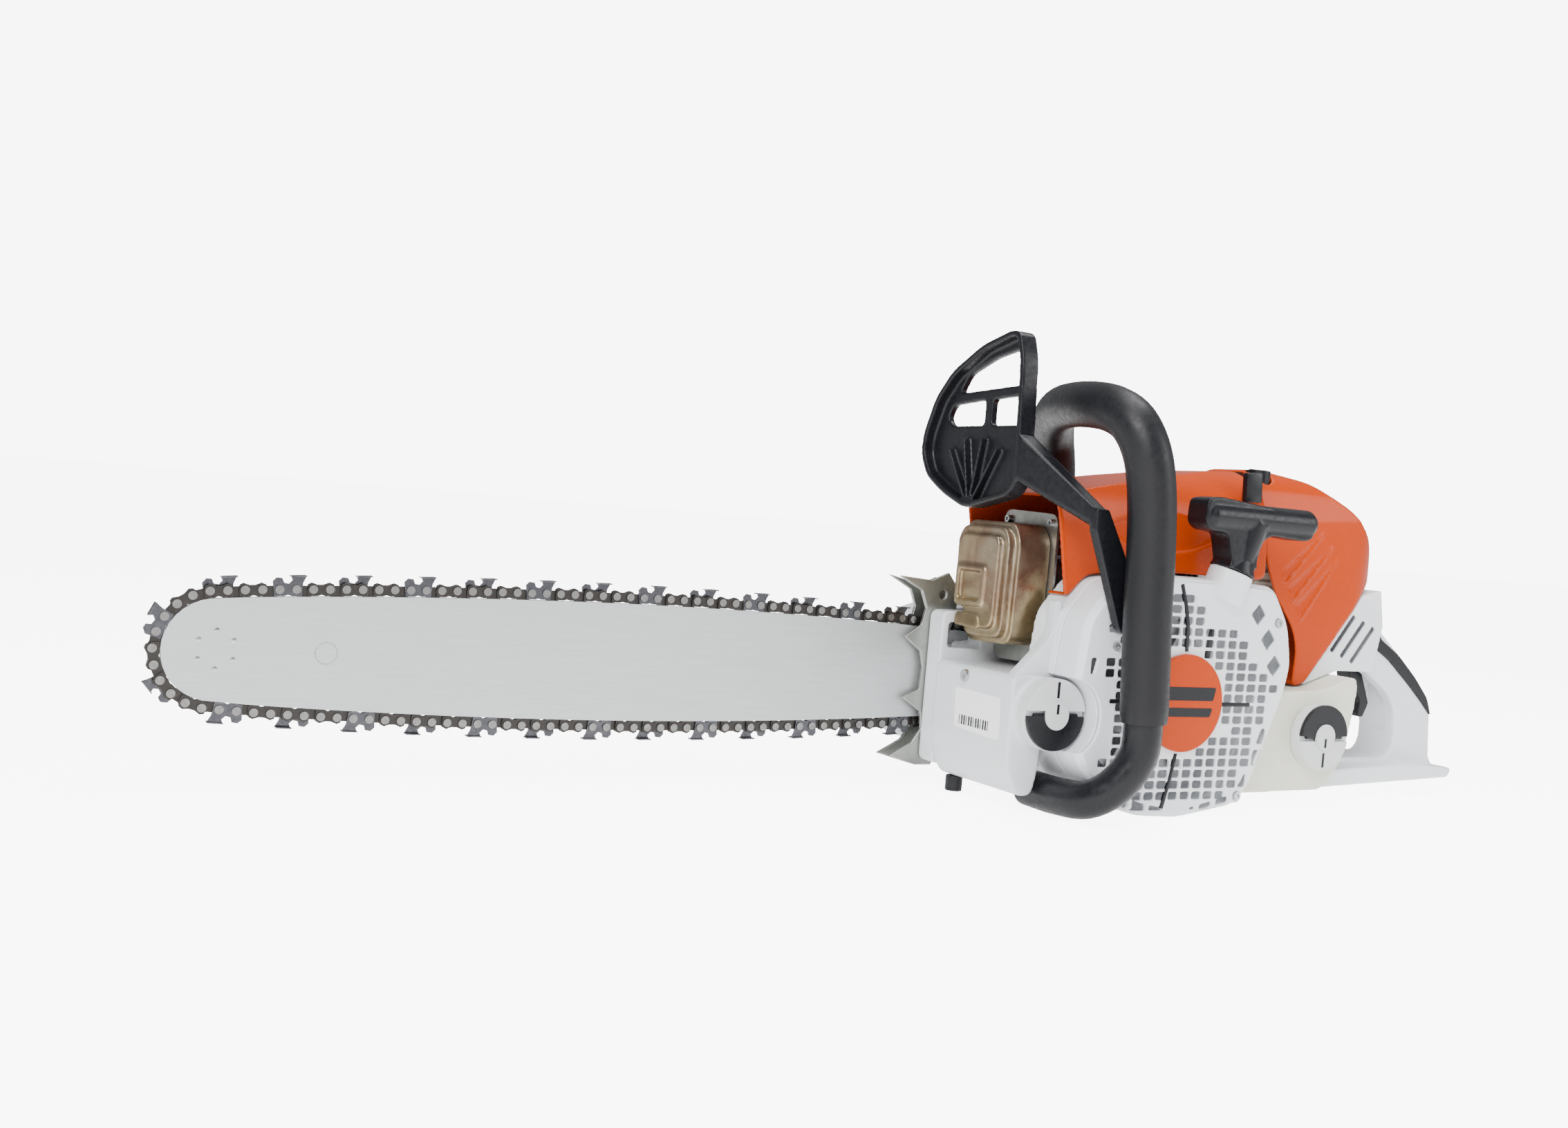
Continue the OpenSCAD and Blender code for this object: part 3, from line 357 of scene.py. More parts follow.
# %% Group: moulding grain
grain, g_in, g_out = new_group(
    "moulding_grain",
    [("Vector", "NodeSocketVector", (0, 0, 0)), ("Fine", "NodeSocketFloat", 1500.0),
     ("Broad", "NodeSocketFloat", 60.0)],
    [("Height", "NodeSocketFloat"), ("Cloud", "NodeSocketFloat")],
)
fine = add_node(grain, "ShaderNodeTexNoise", Detail=2.0, Roughness=0.6)
broad = add_node(grain, "ShaderNodeTexNoise", Detail=3.0, Roughness=0.5)
blend_height = add_node(grain, "ShaderNodeMath", operation="MULTIPLY_ADD")
blend_height.inputs[1].default_value = 0.6
wire(grain, g_in.outputs["Vector"], fine.inputs["Vector"])
wire(grain, g_in.outputs["Vector"], broad.inputs["Vector"])
wire(grain, g_in.outputs["Fine"], fine.inputs["Scale"])
wire(grain, g_in.outputs["Broad"], broad.inputs["Scale"])
wire(grain, fine.outputs["Fac"], blend_height.inputs[0])
wire(grain, broad.outputs["Fac"], blend_height.inputs[2])
wire(grain, blend_height.outputs[0], g_out.inputs["Height"])
wire(grain, broad.outputs["Fac"], g_out.inputs["Cloud"])

# %% [markdown]
# Worn edges: a Bevel node bends the normal near an edge, so where it differs from the true
# normal there is an edge. A noise breaks the mask up, as rubbing never wears evenly.

# %% Group: worn edges
wear, w_in, w_out = new_group(
    "worn_edges",
    [("Vector", "NodeSocketVector", (0, 0, 0)), ("Width", "NodeSocketFloat", 0.0006),
     ("Amount", "NodeSocketFloat", 0.5)],
    [("Mask", "NodeSocketFloat")],
)
rounded = add_node(wear, "ShaderNodeBevel", samples=3)
true_normal = add_node(wear, "ShaderNodeNewGeometry")
likeness = add_node(wear, "ShaderNodeVectorMath", operation="DOT_PRODUCT")
edge = add_node(wear, "ShaderNodeMapRange")
edge.inputs["From Min"].default_value = 0.97
edge.inputs["From Max"].default_value = 0.80
patches = add_node(wear, "ShaderNodeTexNoise", Scale=220.0, Detail=4.0)
patchy = add_node(wear, "ShaderNodeMapRange")
patchy.inputs["From Min"].default_value = 0.40
patchy.inputs["From Max"].default_value = 0.62
edge_patches = add_node(wear, "ShaderNodeMath", operation="MULTIPLY")
edge_amount = add_node(wear, "ShaderNodeMath", operation="MULTIPLY", use_clamp=True)
wire(wear, w_in.outputs["Width"], rounded.inputs["Radius"])
wire(wear, rounded.outputs[0], likeness.inputs[0])
wire(wear, true_normal.outputs["Normal"], likeness.inputs[1])
wire(wear, likeness.outputs["Value"], edge.inputs["Value"])
wire(wear, w_in.outputs["Vector"], patches.inputs["Vector"])
wire(wear, patches.outputs["Fac"], patchy.inputs["Value"])
wire(wear, edge.outputs[0], edge_patches.inputs[0])
wire(wear, patchy.outputs[0], edge_patches.inputs[1])
wire(wear, edge_patches.outputs[0], edge_amount.inputs[0])
wire(wear, w_in.outputs["Amount"], edge_amount.inputs[1])
wire(wear, edge_amount.outputs[0], w_out.inputs["Mask"])

# %% [markdown]
# Dust: fine dust lies on what faces up, thicker in some places than in others.

# %% Group: settled dust
dust, d_in, d_out = new_group(
    "settled_dust",
    [("Vector", "NodeSocketVector", (0, 0, 0)), ("Amount", "NodeSocketFloat", 0.1)],
    [("Mask", "NodeSocketFloat")],
)
facing = add_node(dust, "ShaderNodeNewGeometry")
split = add_node(dust, "ShaderNodeSeparateXYZ")
upward = add_node(dust, "ShaderNodeMapRange")
upward.inputs["From Min"].default_value = 0.1
film = add_node(dust, "ShaderNodeTexNoise", Scale=45.0, Detail=5.0)
film_up = add_node(dust, "ShaderNodeMath", operation="MULTIPLY")
film_amount = add_node(dust, "ShaderNodeMath", operation="MULTIPLY", use_clamp=True)
wire(dust, facing.outputs["Normal"], split.inputs[0])
wire(dust, split.outputs["Z"], upward.inputs["Value"])
wire(dust, d_in.outputs["Vector"], film.inputs["Vector"])
wire(dust, upward.outputs[0], film_up.inputs[0])
wire(dust, film.outputs["Fac"], film_up.inputs[1])
wire(dust, film_up.outputs[0], film_amount.inputs[0])
wire(dust, d_in.outputs["Amount"], film_amount.inputs[1])
wire(dust, film_amount.outputs[0], d_out.inputs["Mask"])

# %% [markdown]
# One recipe makes every plain finish: base colour, a second tone that clouds it, gloss, grain
# depth and a worn-edge colour. What differs from finish to finish is only a row of numbers, so
# the recipe is a function and each finish is a call.

# %% The recipe for a finish
finishes = {}


def put_group(tree, group, point, **values):
    node = tree.nodes.new("ShaderNodeGroup")
    node.node_tree = group
    for key, value in values.items():
        node.inputs[key].default_value = value
    wire(tree, point, node.inputs["Vector"])
    return node


def mix_colour(tree, mask, first, second):
    node = add_node(tree, "ShaderNodeMix", data_type="RGBA")
    wire(tree, mask, node.inputs[0])
    for socket, value in ((node.inputs[6], first), (node.inputs[7], second)):
        if isinstance(value, tuple):
            socket.default_value = (*value, 1.0)
        else:
            wire(tree, value, socket)
    return node.outputs[2]


def finish(name, tone, second, gloss, metal=0.0, coat=0.0, fine=1500.0, broad=60.0, depth=0.05,
           stretch=(1, 1, 1), worn=None, width=0.0005, wear_amount=0.5, dusty=0.06, glow=0.0,
           vary=0.08, sheen=0.5):
    material = bpy.data.materials.new(name)
    material.use_nodes = True
    tree = material.node_tree
    shader = tree.nodes["Principled BSDF"]
    place = add_node(tree, "ShaderNodeTexCoord")
    turn = add_node(tree, "ShaderNodeMapping", Scale=stretch)
    wire(tree, place.outputs["Object"], turn.inputs["Vector"])
    point = turn.outputs["Vector"]
    texture = put_group(tree, grain, point, Fine=fine, Broad=broad)
    colour = mix_colour(tree, texture.outputs["Cloud"], tone, second)
    if worn:
        rubbed = put_group(tree, wear, place.outputs["Object"], Width=width, Amount=wear_amount)
        colour = mix_colour(tree, rubbed.outputs["Mask"], colour, worn)
    if dusty:
        settled = put_group(tree, dust, place.outputs["Object"], Amount=dusty)
        colour = mix_colour(tree, settled.outputs["Mask"], colour, (0.55, 0.52, 0.47))
    wire(tree, colour, shader.inputs["Base Color"])
    rough = add_node(tree, "ShaderNodeMapRange")
    rough.inputs["From Min"].default_value = 0.3
    rough.inputs["From Max"].default_value = 0.7
    rough.inputs["To Min"].default_value = gloss - vary
    rough.inputs["To Max"].default_value = gloss + vary
    wire(tree, texture.outputs["Cloud"], rough.inputs["Value"])
    wire(tree, rough.outputs[0], shader.inputs["Roughness"])
    bump = add_node(tree, "ShaderNodeBump", Strength=1.0, Distance=depth * MM)
    wire(tree, texture.outputs["Height"], bump.inputs["Height"])
    wire(tree, bump.outputs["Normal"], shader.inputs["Normal"])
    shader.inputs["Metallic"].default_value = metal
    shader.inputs["Coat Weight"].default_value = coat
    shader.inputs["Specular IOR Level"].default_value = sheen
    shader.inputs["Coat Roughness"].default_value = 0.12
    if glow:
        shader.inputs["Subsurface Weight"].default_value = glow
        shader.inputs["Subsurface Radius"].default_value = (0.004, 0.003, 0.002)
    finishes[name] = material
    return material


# %% [markdown]
# Paint and plastics. The covers are glossy orange plastic whose skin shows a very shallow
# orange peel. The starter side is white plastic, and the castings wear a hard light grey paint
# with a fine texture. The tank is milky, so light enters it a little.

# %% Paint and plastics
finish("orange_plastic", (0.46, 0.043, 0.000), (0.45, 0.041, 0.000), 0.28,
       coat=0.0, broad=60, depth=0.0008, dusty=0.0, vary=0.02, sheen=0.16)
finish("white_plastic", (0.80, 0.82, 0.85), (0.75, 0.77, 0.80), 0.34,
       coat=0.10, broad=200, depth=0.012, dusty=0.05)
finish("white_paint", (0.70, 0.72, 0.74), (0.66, 0.68, 0.70), 0.33,
       coat=0.25, fine=900, broad=420, depth=0.030,
       worn=(0.34, 0.35, 0.36), width=0.0005, wear_amount=0.25, dusty=0.08)
finish("cream_plastic", (0.74, 0.74, 0.63), (0.68, 0.68, 0.56), 0.42,
       broad=90, depth=0.015, glow=0.25, dusty=0.05)
finish("black_plastic", (0.0045, 0.005, 0.0065), (0.0065, 0.007, 0.0095), 0.34,
       fine=1900, broad=300, depth=0.010, dusty=0.0, sheen=0.30)
finish("label_white", (0.97, 0.97, 0.97), (0.95, 0.95, 0.95), 0.30, broad=200, depth=0.004, dusty=0.0)
finish("cap_light", (0.64, 0.65, 0.66), (0.58, 0.59, 0.60), 0.36, broad=200, depth=0.012)
print("paint and plastics:", sorted(finishes))

# %% [markdown]
# Rubber and rope. Handle rubber is matt and a little open-grained; the tube under it is coated
# and smoother. Felt and rope only need a coarse, soft bump.

# %% Rubber, felt and rope
finish("black_rubber", (0.0055, 0.0055, 0.0070), (0.0080, 0.0080, 0.0100), 0.44,
       fine=1300, broad=260, depth=0.014, dusty=0.0, sheen=0.30)
finish("black_tube", (0.0060, 0.0062, 0.0078), (0.0085, 0.0090, 0.0110), 0.34,
       fine=1500, broad=200, depth=0.010, dusty=0.0, sheen=0.30)
finish("filter_felt", (0.62, 0.60, 0.52), (0.54, 0.51, 0.43), 0.90, fine=2600, broad=900, depth=0.20)
finish("rope_fibre", (0.05, 0.05, 0.055), (0.20, 0.20, 0.20), 0.80,
       fine=1200, broad=1500, depth=0.35, stretch=(1, 1, 3))
print("finishes so far:", len(finishes))

# %% [markdown]
# Metals. A ground or brushed face has its scratches along one direction, so the Mapping node
# squeezes the noise across it. Zinc plate is mottled, cast alloy is coarse and dull.

# %% Metals
finish("bar_steel", (0.60, 0.62, 0.62), (0.52, 0.54, 0.545), 0.44,
       metal=0.75, fine=1600, broad=500, depth=0.018,
       stretch=(0.05, 1, 1), worn=(0.30, 0.30, 0.30), width=0.0008, wear_amount=0.6, dusty=0.0)
finish("chain_steel", (0.035, 0.032, 0.031), (0.060, 0.054, 0.050), 0.36, metal=0.85, broad=420, depth=0.030,
       worn=(0.42, 0.40, 0.38), width=0.0003, wear_amount=0.6, dusty=0.0)
finish("cutter_chrome", (0.105, 0.105, 0.115), (0.070, 0.070, 0.078), 0.28,
       metal=0.95, broad=420, depth=0.012,
       worn=(0.70, 0.72, 0.76), width=0.0003, wear_amount=0.7, dusty=0.0)
finish("rivet_steel", (0.27, 0.265, 0.26), (0.20, 0.195, 0.19), 0.28,
       metal=1.0, broad=500, depth=0.010, dusty=0.0)
finish("zinc_plate", (0.42, 0.43, 0.40), (0.30, 0.31, 0.29), 0.34,
       metal=0.9, fine=300, broad=120, depth=0.020,
       worn=(0.72, 0.72, 0.70), width=0.0006, wear_amount=0.5, dusty=0.0)
finish("fixing_steel", (0.60, 0.61, 0.62), (0.48, 0.49, 0.50), 0.26,
       metal=1.0, broad=400, depth=0.010, dusty=0.0)
finish("bare_steel", (0.42, 0.43, 0.44), (0.34, 0.35, 0.36), 0.30,
       metal=1.0, stretch=(1, 0.1, 1), depth=0.015, dusty=0.0)
finish("alloy", (0.46, 0.47, 0.48), (0.38, 0.39, 0.40), 0.48,
       metal=0.9, fine=900, broad=300, depth=0.060, dusty=0.04)
finish("friction_iron", (0.18, 0.17, 0.17), (0.26, 0.25, 0.24), 0.50,
       metal=0.8, broad=500, depth=0.040, dusty=0.0)
finish("plate_brass", (0.60, 0.42, 0.16), (0.50, 0.34, 0.13), 0.30, metal=1.0, depth=0.010, dusty=0.0)
finish("ceramic", (0.78, 0.78, 0.75), (0.72, 0.72, 0.69), 0.16, coat=0.5, depth=0.004, dusty=0.0)
print("finishes:", len(finishes))

# %% [markdown]
# The silencer is stainless sheet that the exhaust has tinted. Heat colours run from straw
# through bronze to violet and follow the temperature, so a slow noise bent by the height up
# the box picks the colour from a ramp. The sheet is rolled, so its gloss changes in streaks.

# %% Heat-tinted silencer sheet
bronze = bpy.data.materials.new("muffler_bronze")
bronze.use_nodes = True
tree = bronze.node_tree
shader = tree.nodes["Principled BSDF"]
place = add_node(tree, "ShaderNodeTexCoord")
heat = add_node(tree, "ShaderNodeTexNoise", Scale=16.0, Detail=5.0, Roughness=0.55, Distortion=0.6)
height = add_node(tree, "ShaderNodeSeparateXYZ")
climb = add_node(tree, "ShaderNodeMapRange")
climb.inputs["From Min"].default_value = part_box("muffler")[0][2]
climb.inputs["From Max"].default_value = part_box("muffler")[1][2]
tint = add_node(tree, "ShaderNodeMath", operation="MULTIPLY_ADD", use_clamp=True)
tint.inputs[1].default_value = 0.25
ramp = add_node(tree, "ShaderNodeValToRGB")
tones = [(0.36, (0.150, 0.110, 0.060)), (0.46, (0.270, 0.200, 0.110)), (0.56, (0.360, 0.285, 0.170)),
         (0.66, (0.250, 0.165, 0.105)), (0.80, (0.330, 0.270, 0.190))]
ramp.color_ramp.elements[0].position = tones[0][0]
ramp.color_ramp.elements[0].color = (*tones[0][1], 1)
ramp.color_ramp.elements[1].position = tones[-1][0]
ramp.color_ramp.elements[1].color = (*tones[-1][1], 1)
for position, tone in tones[1:-1]:
    ramp.color_ramp.elements.new(position).color = (*tone, 1)
smudge = put_group(tree, grain, place.outputs["Object"], Fine=260.0, Broad=70.0)
worn_sheet = put_group(tree, wear, place.outputs["Object"], Width=0.0022, Amount=0.55)
sheet_gloss = add_node(tree, "ShaderNodeMapRange")
sheet_gloss.inputs["From Min"].default_value = 0.3
sheet_gloss.inputs["From Max"].default_value = 0.7
sheet_gloss.inputs["To Min"].default_value = 0.24
sheet_gloss.inputs["To Max"].default_value = 0.44
dents = add_node(tree, "ShaderNodeBump", Strength=1.0, Distance=0.00012)
wire(tree, place.outputs["Object"], heat.inputs["Vector"])
wire(tree, place.outputs["Object"], height.inputs[0])
wire(tree, height.outputs["Z"], climb.inputs["Value"])
wire(tree, climb.outputs[0], tint.inputs[0])
wire(tree, heat.outputs["Fac"], tint.inputs[2])
wire(tree, tint.outputs[0], ramp.inputs["Fac"])
sheet_colour = mix_colour(tree, worn_sheet.outputs["Mask"], ramp.outputs["Color"], (0.62, 0.52, 0.36))
wire(tree, sheet_colour, shader.inputs["Base Color"])
wire(tree, smudge.outputs["Cloud"], sheet_gloss.inputs["Value"])
wire(tree, sheet_gloss.outputs[0], shader.inputs["Roughness"])
wire(tree, smudge.outputs["Height"], dents.inputs["Height"])
wire(tree, dents.outputs["Normal"], shader.inputs["Normal"])
shader.inputs["Metallic"].default_value = 0.92
finishes["muffler_bronze"] = bronze
print("all finishes:", len(finishes))

# %% [markdown]
# The record says which finish each sub-part takes. Giving every CAD sub-part its finish now
# means that nothing is left bare, and a skin copied from one keeps its finish.

# %% Dress every CAD sub-part
for row in frame["record"]["subparts"]:
    node = nodes.get(row.get("node", row.get("name")))
    slot = row.get("material_slot")
    if node and slot in finishes:
        node.data.materials.clear()
        node.data.materials.append(finishes[slot])
undressed = [n for n, o in nodes.items() if not o.data.materials or o.data.materials[0].name not in finishes]
print("sub-parts without a finish:", undressed)

# %% [markdown]
# ## Orange covers
# The filter cover has three louvres pressed into its side: long triangles that start wide above
# the white base and run out to a point near the top. Each is cut as a shallow pocket, and a thin
# fin stands along its lower edge. The cuts are made on the copy before it is melted, so their
# edges come out as soft as the rest.

# %% Filter cover with louvres
cover_face = (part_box("filter_cover")[0][1] - bar_plane) / MM
louvres = [
    ((166, 122), (127, 93), (131, 84)),
    ((177, 112.5), (135.5, 81), (140, 71)),
    ((184.5, 104.5), (144.5, 68), (150, 58)),
]
pockets = []
fins = []
for k, (tip, high, low) in enumerate(louvres):
    pockets.append(cut_plate(f"pocket_{k}", [tip, high, low], cover_face - 3, cover_face + 1.9))
    fin_line = [tip, (low[0] + 1.2, low[1] + 2.2), (low[0] - 0.6, low[1] - 1.2)]
    fins.append(cut_plate(f"fin_{k}", fin_line, cover_face + 1.0, cover_face - 1.1))
# The rear end is filled, so that the rounded skin stays closed there
plan = [(90, -101), (215, -99), (240, -82), (246, -60), (236, -24), (210, -14), (90, -10)]
profile = [(148, 8), (160.4, 10.2), (218, 80), (240, 92), (228, 118), (198, 142), (158, 160),
           (117, 166), (99, 165), (110, 100), (122, 76), (143, 52), (149, 38)]
rear_end = cut_plate("rear_end", soft_corners(plan, 14), -10, 190, facing="z")
join_cut(rear_end, cut_plate("cover_profile", soft_corners(profile, 8), -120, 0), "INTERSECT")
rear_half = cut_plate("rear_half", [(208, 0), (208, 200), (300, 200), (300, 0)], -130, 10)
join_cut(rear_end, rear_half, "INTERSECT")
filter_cover = moulded("filter_cover", 0.9, 8, keep=0.6, cuts=pockets, adds=fins + [rear_end])
print("filter cover:", len(filter_cover.data.polygons), "triangles")

# %% [markdown]
# The top shroud carries a long leaf-shaped scoop in its side. It is cut as a pocket too.

# %% Top shroud with its scoop
shroud_face = (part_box("top_shroud")[0][1] - bar_plane) / MM
leaf = [(-54, 113), (-26, 124), (8, 128), (36, 123), (56, 112), (30, 102), (0, 98), (-28, 103)]
scoop = cut_plate("scoop", soft_corners(leaf, 6), shroud_face - 3, shroud_face + 1.9)
top_shroud = moulded("top_shroud", 0.9, 8, keep=0.6, cuts=[scoop])
print("top shroud:", len(top_shroud.data.polygons), "triangles")

# %% [markdown]
# ## The other mouldings and castings
# Each row is a sub-part, the grid it is melted on, the rounds of smoothing and the share of
# triangles kept. Thin grilles need a fine grid, thick castings can do with a coarse one.

# %% Melt the rest
skins = {}
for node, voxel, rounds, keep in [
    ("crankcase_left", 1.2, 4, 0.35), ("crankcase_right", 1.2, 4, 0.35), ("clutch_cover", 1.0, 5, 0.35),
    ("fan_shroud", 1.0, 3, 0.4), ("filter_base", 0.9, 4, 0.4),
    ("fuel_tank", 1.2, 8, 0.3), ("rear_handle", 1.1, 9, 0.4), ("hand_guard", 0.9, 5, 0.5),
    ("oil_cap", 0.5, 3, 0.5), ("fuel_cap", 0.5, 3, 0.5),
    ("oil_cap_flap", 0.4, 3, 0.5), ("fuel_cap_flap", 0.4, 3, 0.5),
    ("throttle_trigger", 0.6, 5, 0.5), ("trigger_lock", 0.6, 5, 0.5), ("cover_lock", 0.6, 4, 0.5),
    ("rubber_mounts", 0.7, 4, 0.5), ("chain_catcher", 0.6, 4, 0.5), ("bumper_spikes", 0.6, 3, 0.4),
]:
    skins[node] = moulded(node, voxel, rounds, keep)
knob_top = joint["cover_lock_turn"]["pos_m"][2] + 0.004
for vertex in skins["cover_lock"].data.vertices:
    if vertex.co.z > knob_top:
        vertex.co.z = knob_top + (vertex.co.z - knob_top) * 0.35
print("moulded pieces:", len(skins) + 2, "triangles:", moulded_triangles)

# %% [markdown]
# ## Starter cover and its grille
# The cooling air is drawn in through a grille of small oblong windows round the badge. One
# window cutter is arrayed into a full grid, the windows that would touch the rim, the badge,
# the grip or a screw are deleted, and the rest are cut through a fresh face plate.

# %% Grille cutter
case_front = (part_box("starter_badge")[1][1] - bar_plane) / MM + 0.1
rim = [(76, 82), (95, 56), (101, 26), (96, 7), (69, -60), (58, -71), (7, -82), (-30, -76), (-60, -66),
       (-78, -44), (-90, 6), (-72, 76), (-13, 84)]
cover_screws = [(83, 57), (58, -64), (-60, 36), (-52, -58)]
keep_clear = [((0, 0), 39), ((34, 78), 27), ((-95, -12), 40), ((46, -16), 5)]
keep_clear += list(zip(cover_screws, (9, 9, 8, 9)))
step_x, step_z, wide, tall = 10.6, 7.4, 8.5, 5.3
first_x, first_z = -85, -78
columns, rows = 18, 22


def inside(x, z, margin):
    """Is the point inside the rim by this margin?"""
    for i in range(len(rim)):
        (ax, az), (bx, bz) = rim[i - 1], rim[i]
        length = math.hypot(bx - ax, bz - az)
        if ((bx - ax) * (z - az) - (bz - az) * (x - ax)) / length > -margin:
            return False
    return True


def window_kept(x, z):
    corners = [(x + i * wide / 2, z + j * tall / 2) for i in (-1, 1) for j in (-1, 1)]
    open_area = all(inside(cx, cz, 7) for cx, cz in corners)
    clear = all(math.hypot(x - mx, z - mz) > r for (mx, mz), r in keep_clear)
    return open_area and clear and x + z < 96


deselect()
bpy.ops.mesh.primitive_cube_add(size=1, location=at(first_x, case_front + 1, first_z))
windows = name_it("grille_windows")
bpy.ops.transform.resize(value=(wide * MM, 0.012, tall * MM))
bpy.ops.object.transform_apply(location=True, rotation=True, scale=True)
for count, shift in ((columns, (step_x * MM, 0, 0)), (rows, (0, 0, step_z * MM))):
    press(windows, "ARRAY", count=count, use_relative_offset=False, use_constant_offset=True,
          constant_offset_displace=shift)
bpy.ops.object.mode_set(mode="EDIT")
bpy.ops.mesh.select_all(action="DESELECT")
bpy.ops.object.mode_set(mode="OBJECT")
for vertex in windows.data.vertices:
    column = round(((vertex.co.x - shaft.x) / MM - first_x) / step_x)
    row = round(((vertex.co.z - shaft.z) / MM - first_z) / step_z)
    vertex.select = not window_kept(first_x + column * step_x, first_z + row * step_z)
bpy.ops.object.mode_set(mode="EDIT")
bpy.ops.mesh.delete(type="VERT")
bpy.ops.object.mode_set(mode="OBJECT")
print("windows in the grille:", len(windows.data.vertices) // 8)

# %% Starter cover
def round_line(x, z, radius, sides):
    """The outline of a disc in the plane of the cover's face."""
    turns = [k * 2 * math.pi / sides for k in range(sides)]
    return [(x + radius * math.cos(a), z + radius * math.sin(a)) for a in turns]


plate_line = soft_corners([(x * 0.9, z * 0.9) for x, z in rim], 8)
face_plate = cut_plate("face_plate", plate_line, case_front + 2.5, case_front + 0.3)
join_cut(face_plate, cut_plate("cap_notch", round_line(-95, -12, 27, 36), case_front + 6, case_front - 6))
screw_holes = []
for k, (x, z) in enumerate(cover_screws):
    hole = cut_plate(f"screw_hole_{k}", round_line(x, z, 3.2, 24), case_front + 1.8, case_front - 2)
    screw_holes.append(hole)
diamonds = []
for k, (x, z) in enumerate([(64, 62), (75, 45), (83, 27)]):
    diamond_line = [(x, z + 8), (x + 7, z), (x, z - 8), (x - 7, z)]
    diamonds.append(cut_plate(f"diamond_{k}", diamond_line, case_front + 5, case_front - 5))
openings = [windows] + screw_holes + diamonds
starter_cover = moulded("starter_cover", 0.75, 3, keep=0.4, adds=[face_plate], cuts=openings)
print("starter cover:", len(starter_cover.data.polygons), "triangles")

# %% [markdown]
# ## Starter grip and handle cushion
# The grip is a T: a flattened bar that narrows to the rear on a stem that widens to its foot.
# A plate in the shape of the T is bevelled and melted together with the CAD grip. The cushion
# on the rear handle is a rubber layer a little wider than the handle under it.

# %% Grip and cushion
grip_low, grip_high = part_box("starter_grip")
grip_mid = ((grip_low[1] + grip_high[1]) / 2 - bar_plane) / MM
tee_line = [(1, 138), (12, 140), (60, 136), (99, 131), (103, 127), (101, 117), (94, 115), (62, 117),
            (53, 112), (50, 98), (51, 93), (25, 93), (27, 98), (22, 116), (6, 117), (0, 122)]
tee = cut_plate("tee", soft_corners(tee_line, 4), grip_mid + 7, grip_mid - 12)
press(tee, "BEVEL", width=0.003, segments=3)
starter_grip = moulded("starter_grip", 0.7, 8, keep=0.5, adds=[tee])
cushion_mid = (joint["throttle"]["pos_m"][1] - bar_plane) / MM
cushion_line = [(250.1, 61.2), (270.2, 55.7), (269.7, 45.5), (293.5, 32.5), (315.0, 15.3), (331.8, -1.3),
                (338.2, -16.3), (324.7, -4.2), (307.6, 9.5), (282.0, 28.4), (251.9, 44.5)]
cushion = cut_plate("cushion_rubber", soft_corners(cushion_line, 4), cushion_mid + 19.4, cushion_mid - 19.4)
press(cushion, "BEVEL", width=0.0035, segments=4)
settle(cushion, 40).data.materials.append(finishes["black_rubber"])
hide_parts("handle_cushion")
latch_line = soft_corners([(74.1, 160.7), (89.3, 162.0), (90.9, 140.2), (75.2, 139.8)], 2)
latch_strip = cut_plate("latch_strip", latch_line, shroud_face + 5, shroud_face + 0.6)
press(latch_strip, "BEVEL", width=0.0006, segments=2)
settle(latch_strip).data.materials.append(finishes["black_plastic"])

# %% [markdown]
# ## The front handle
# The handle is a bent steel tube with a thick rubber sleeve pushed over it. A tube is made from
# a path with a round bevel: the same points that the design bends it through are joined by a
# smooth curve, and the curve becomes a mesh.


# %% Tubes along a path
def through(points, steps=5):
    """A smooth path through the points."""
    path = []
    for i in range(len(points) - 1):
        a, b, c, d = (Vector(points[min(max(k, 0), len(points) - 1)]) for k in (i - 1, i, i + 1, i + 2))
        for s in range(steps):
            t = s / steps
            square = (2 * a - 5 * b + 4 * c - d) * t * t
            cube = (3 * b - a - 3 * c + d) * t ** 3
            path.append(0.5 * (2 * b + (c - a) * t + square + cube))
    return path + [Vector(points[-1])]


def bent_tube(name, points, radius, ends=()):
    """A round tube; ends gives the radius shares of the first and last rings."""
    deselect()
    bpy.ops.curve.primitive_nurbs_path_add()
    run = name_it(name)
    run.data.splines.clear()
    spline = run.data.splines.new("POLY")
    path = through(points)
    spline.points.add(len(path) - 1)
    for point, here in zip(spline.points, path):
        point.co = (*at(*here), 1)
    for k, share in enumerate(ends):
        spline.points[k].radius = share
        spline.points[-1 - k].radius = share
    run.data.dimensions = "3D"
    run.data.bevel_depth = radius * MM
    run.data.bevel_resolution = 14
    run.data.use_fill_caps = True
    bpy.ops.object.convert(target="MESH")
    return settle(bpy.context.object, 50)


# %% Sleeve and tube
leg = -168
over = [(2, 12, 112), (0, 12, 134), (-4, 10, 158), (-14, 2, 178), (-30, -18, 190), (-46, -46, 195),
        (-62, -80, 195),
        (-74, -114, 193), (-78, leg + 28, 189), (-76, leg + 11, 180), (-71, leg + 2, 162), (-66, leg, 138),
        (-62, leg, 100), (-60, leg, 60), (-57, leg, 20), (-55, leg, -10)]
under = [(-55, leg, -9.6), (-56, leg + 1, -32), (-66, leg + 8, -52), (-77, leg + 22, -64),
         (-81, leg + 48, -66.5), (-81, leg + 78, -66.5)]
sleeve = bent_tube("handle_sleeve", over, 15.5, ends=(0.955, 0.985))
sleeve.data.materials.clear()
sleeve.data.materials.append(finishes["black_rubber"])
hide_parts("handle_sheath")
lower_tube = bent_tube("handle_lower_tube", under, 12.5)
lower_tube.data.materials.clear()
lower_tube.data.materials.append(finishes["black_tube"])
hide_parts("handle_tube")
print("sleeve triangles:", len(sleeve.data.polygons) * 2)

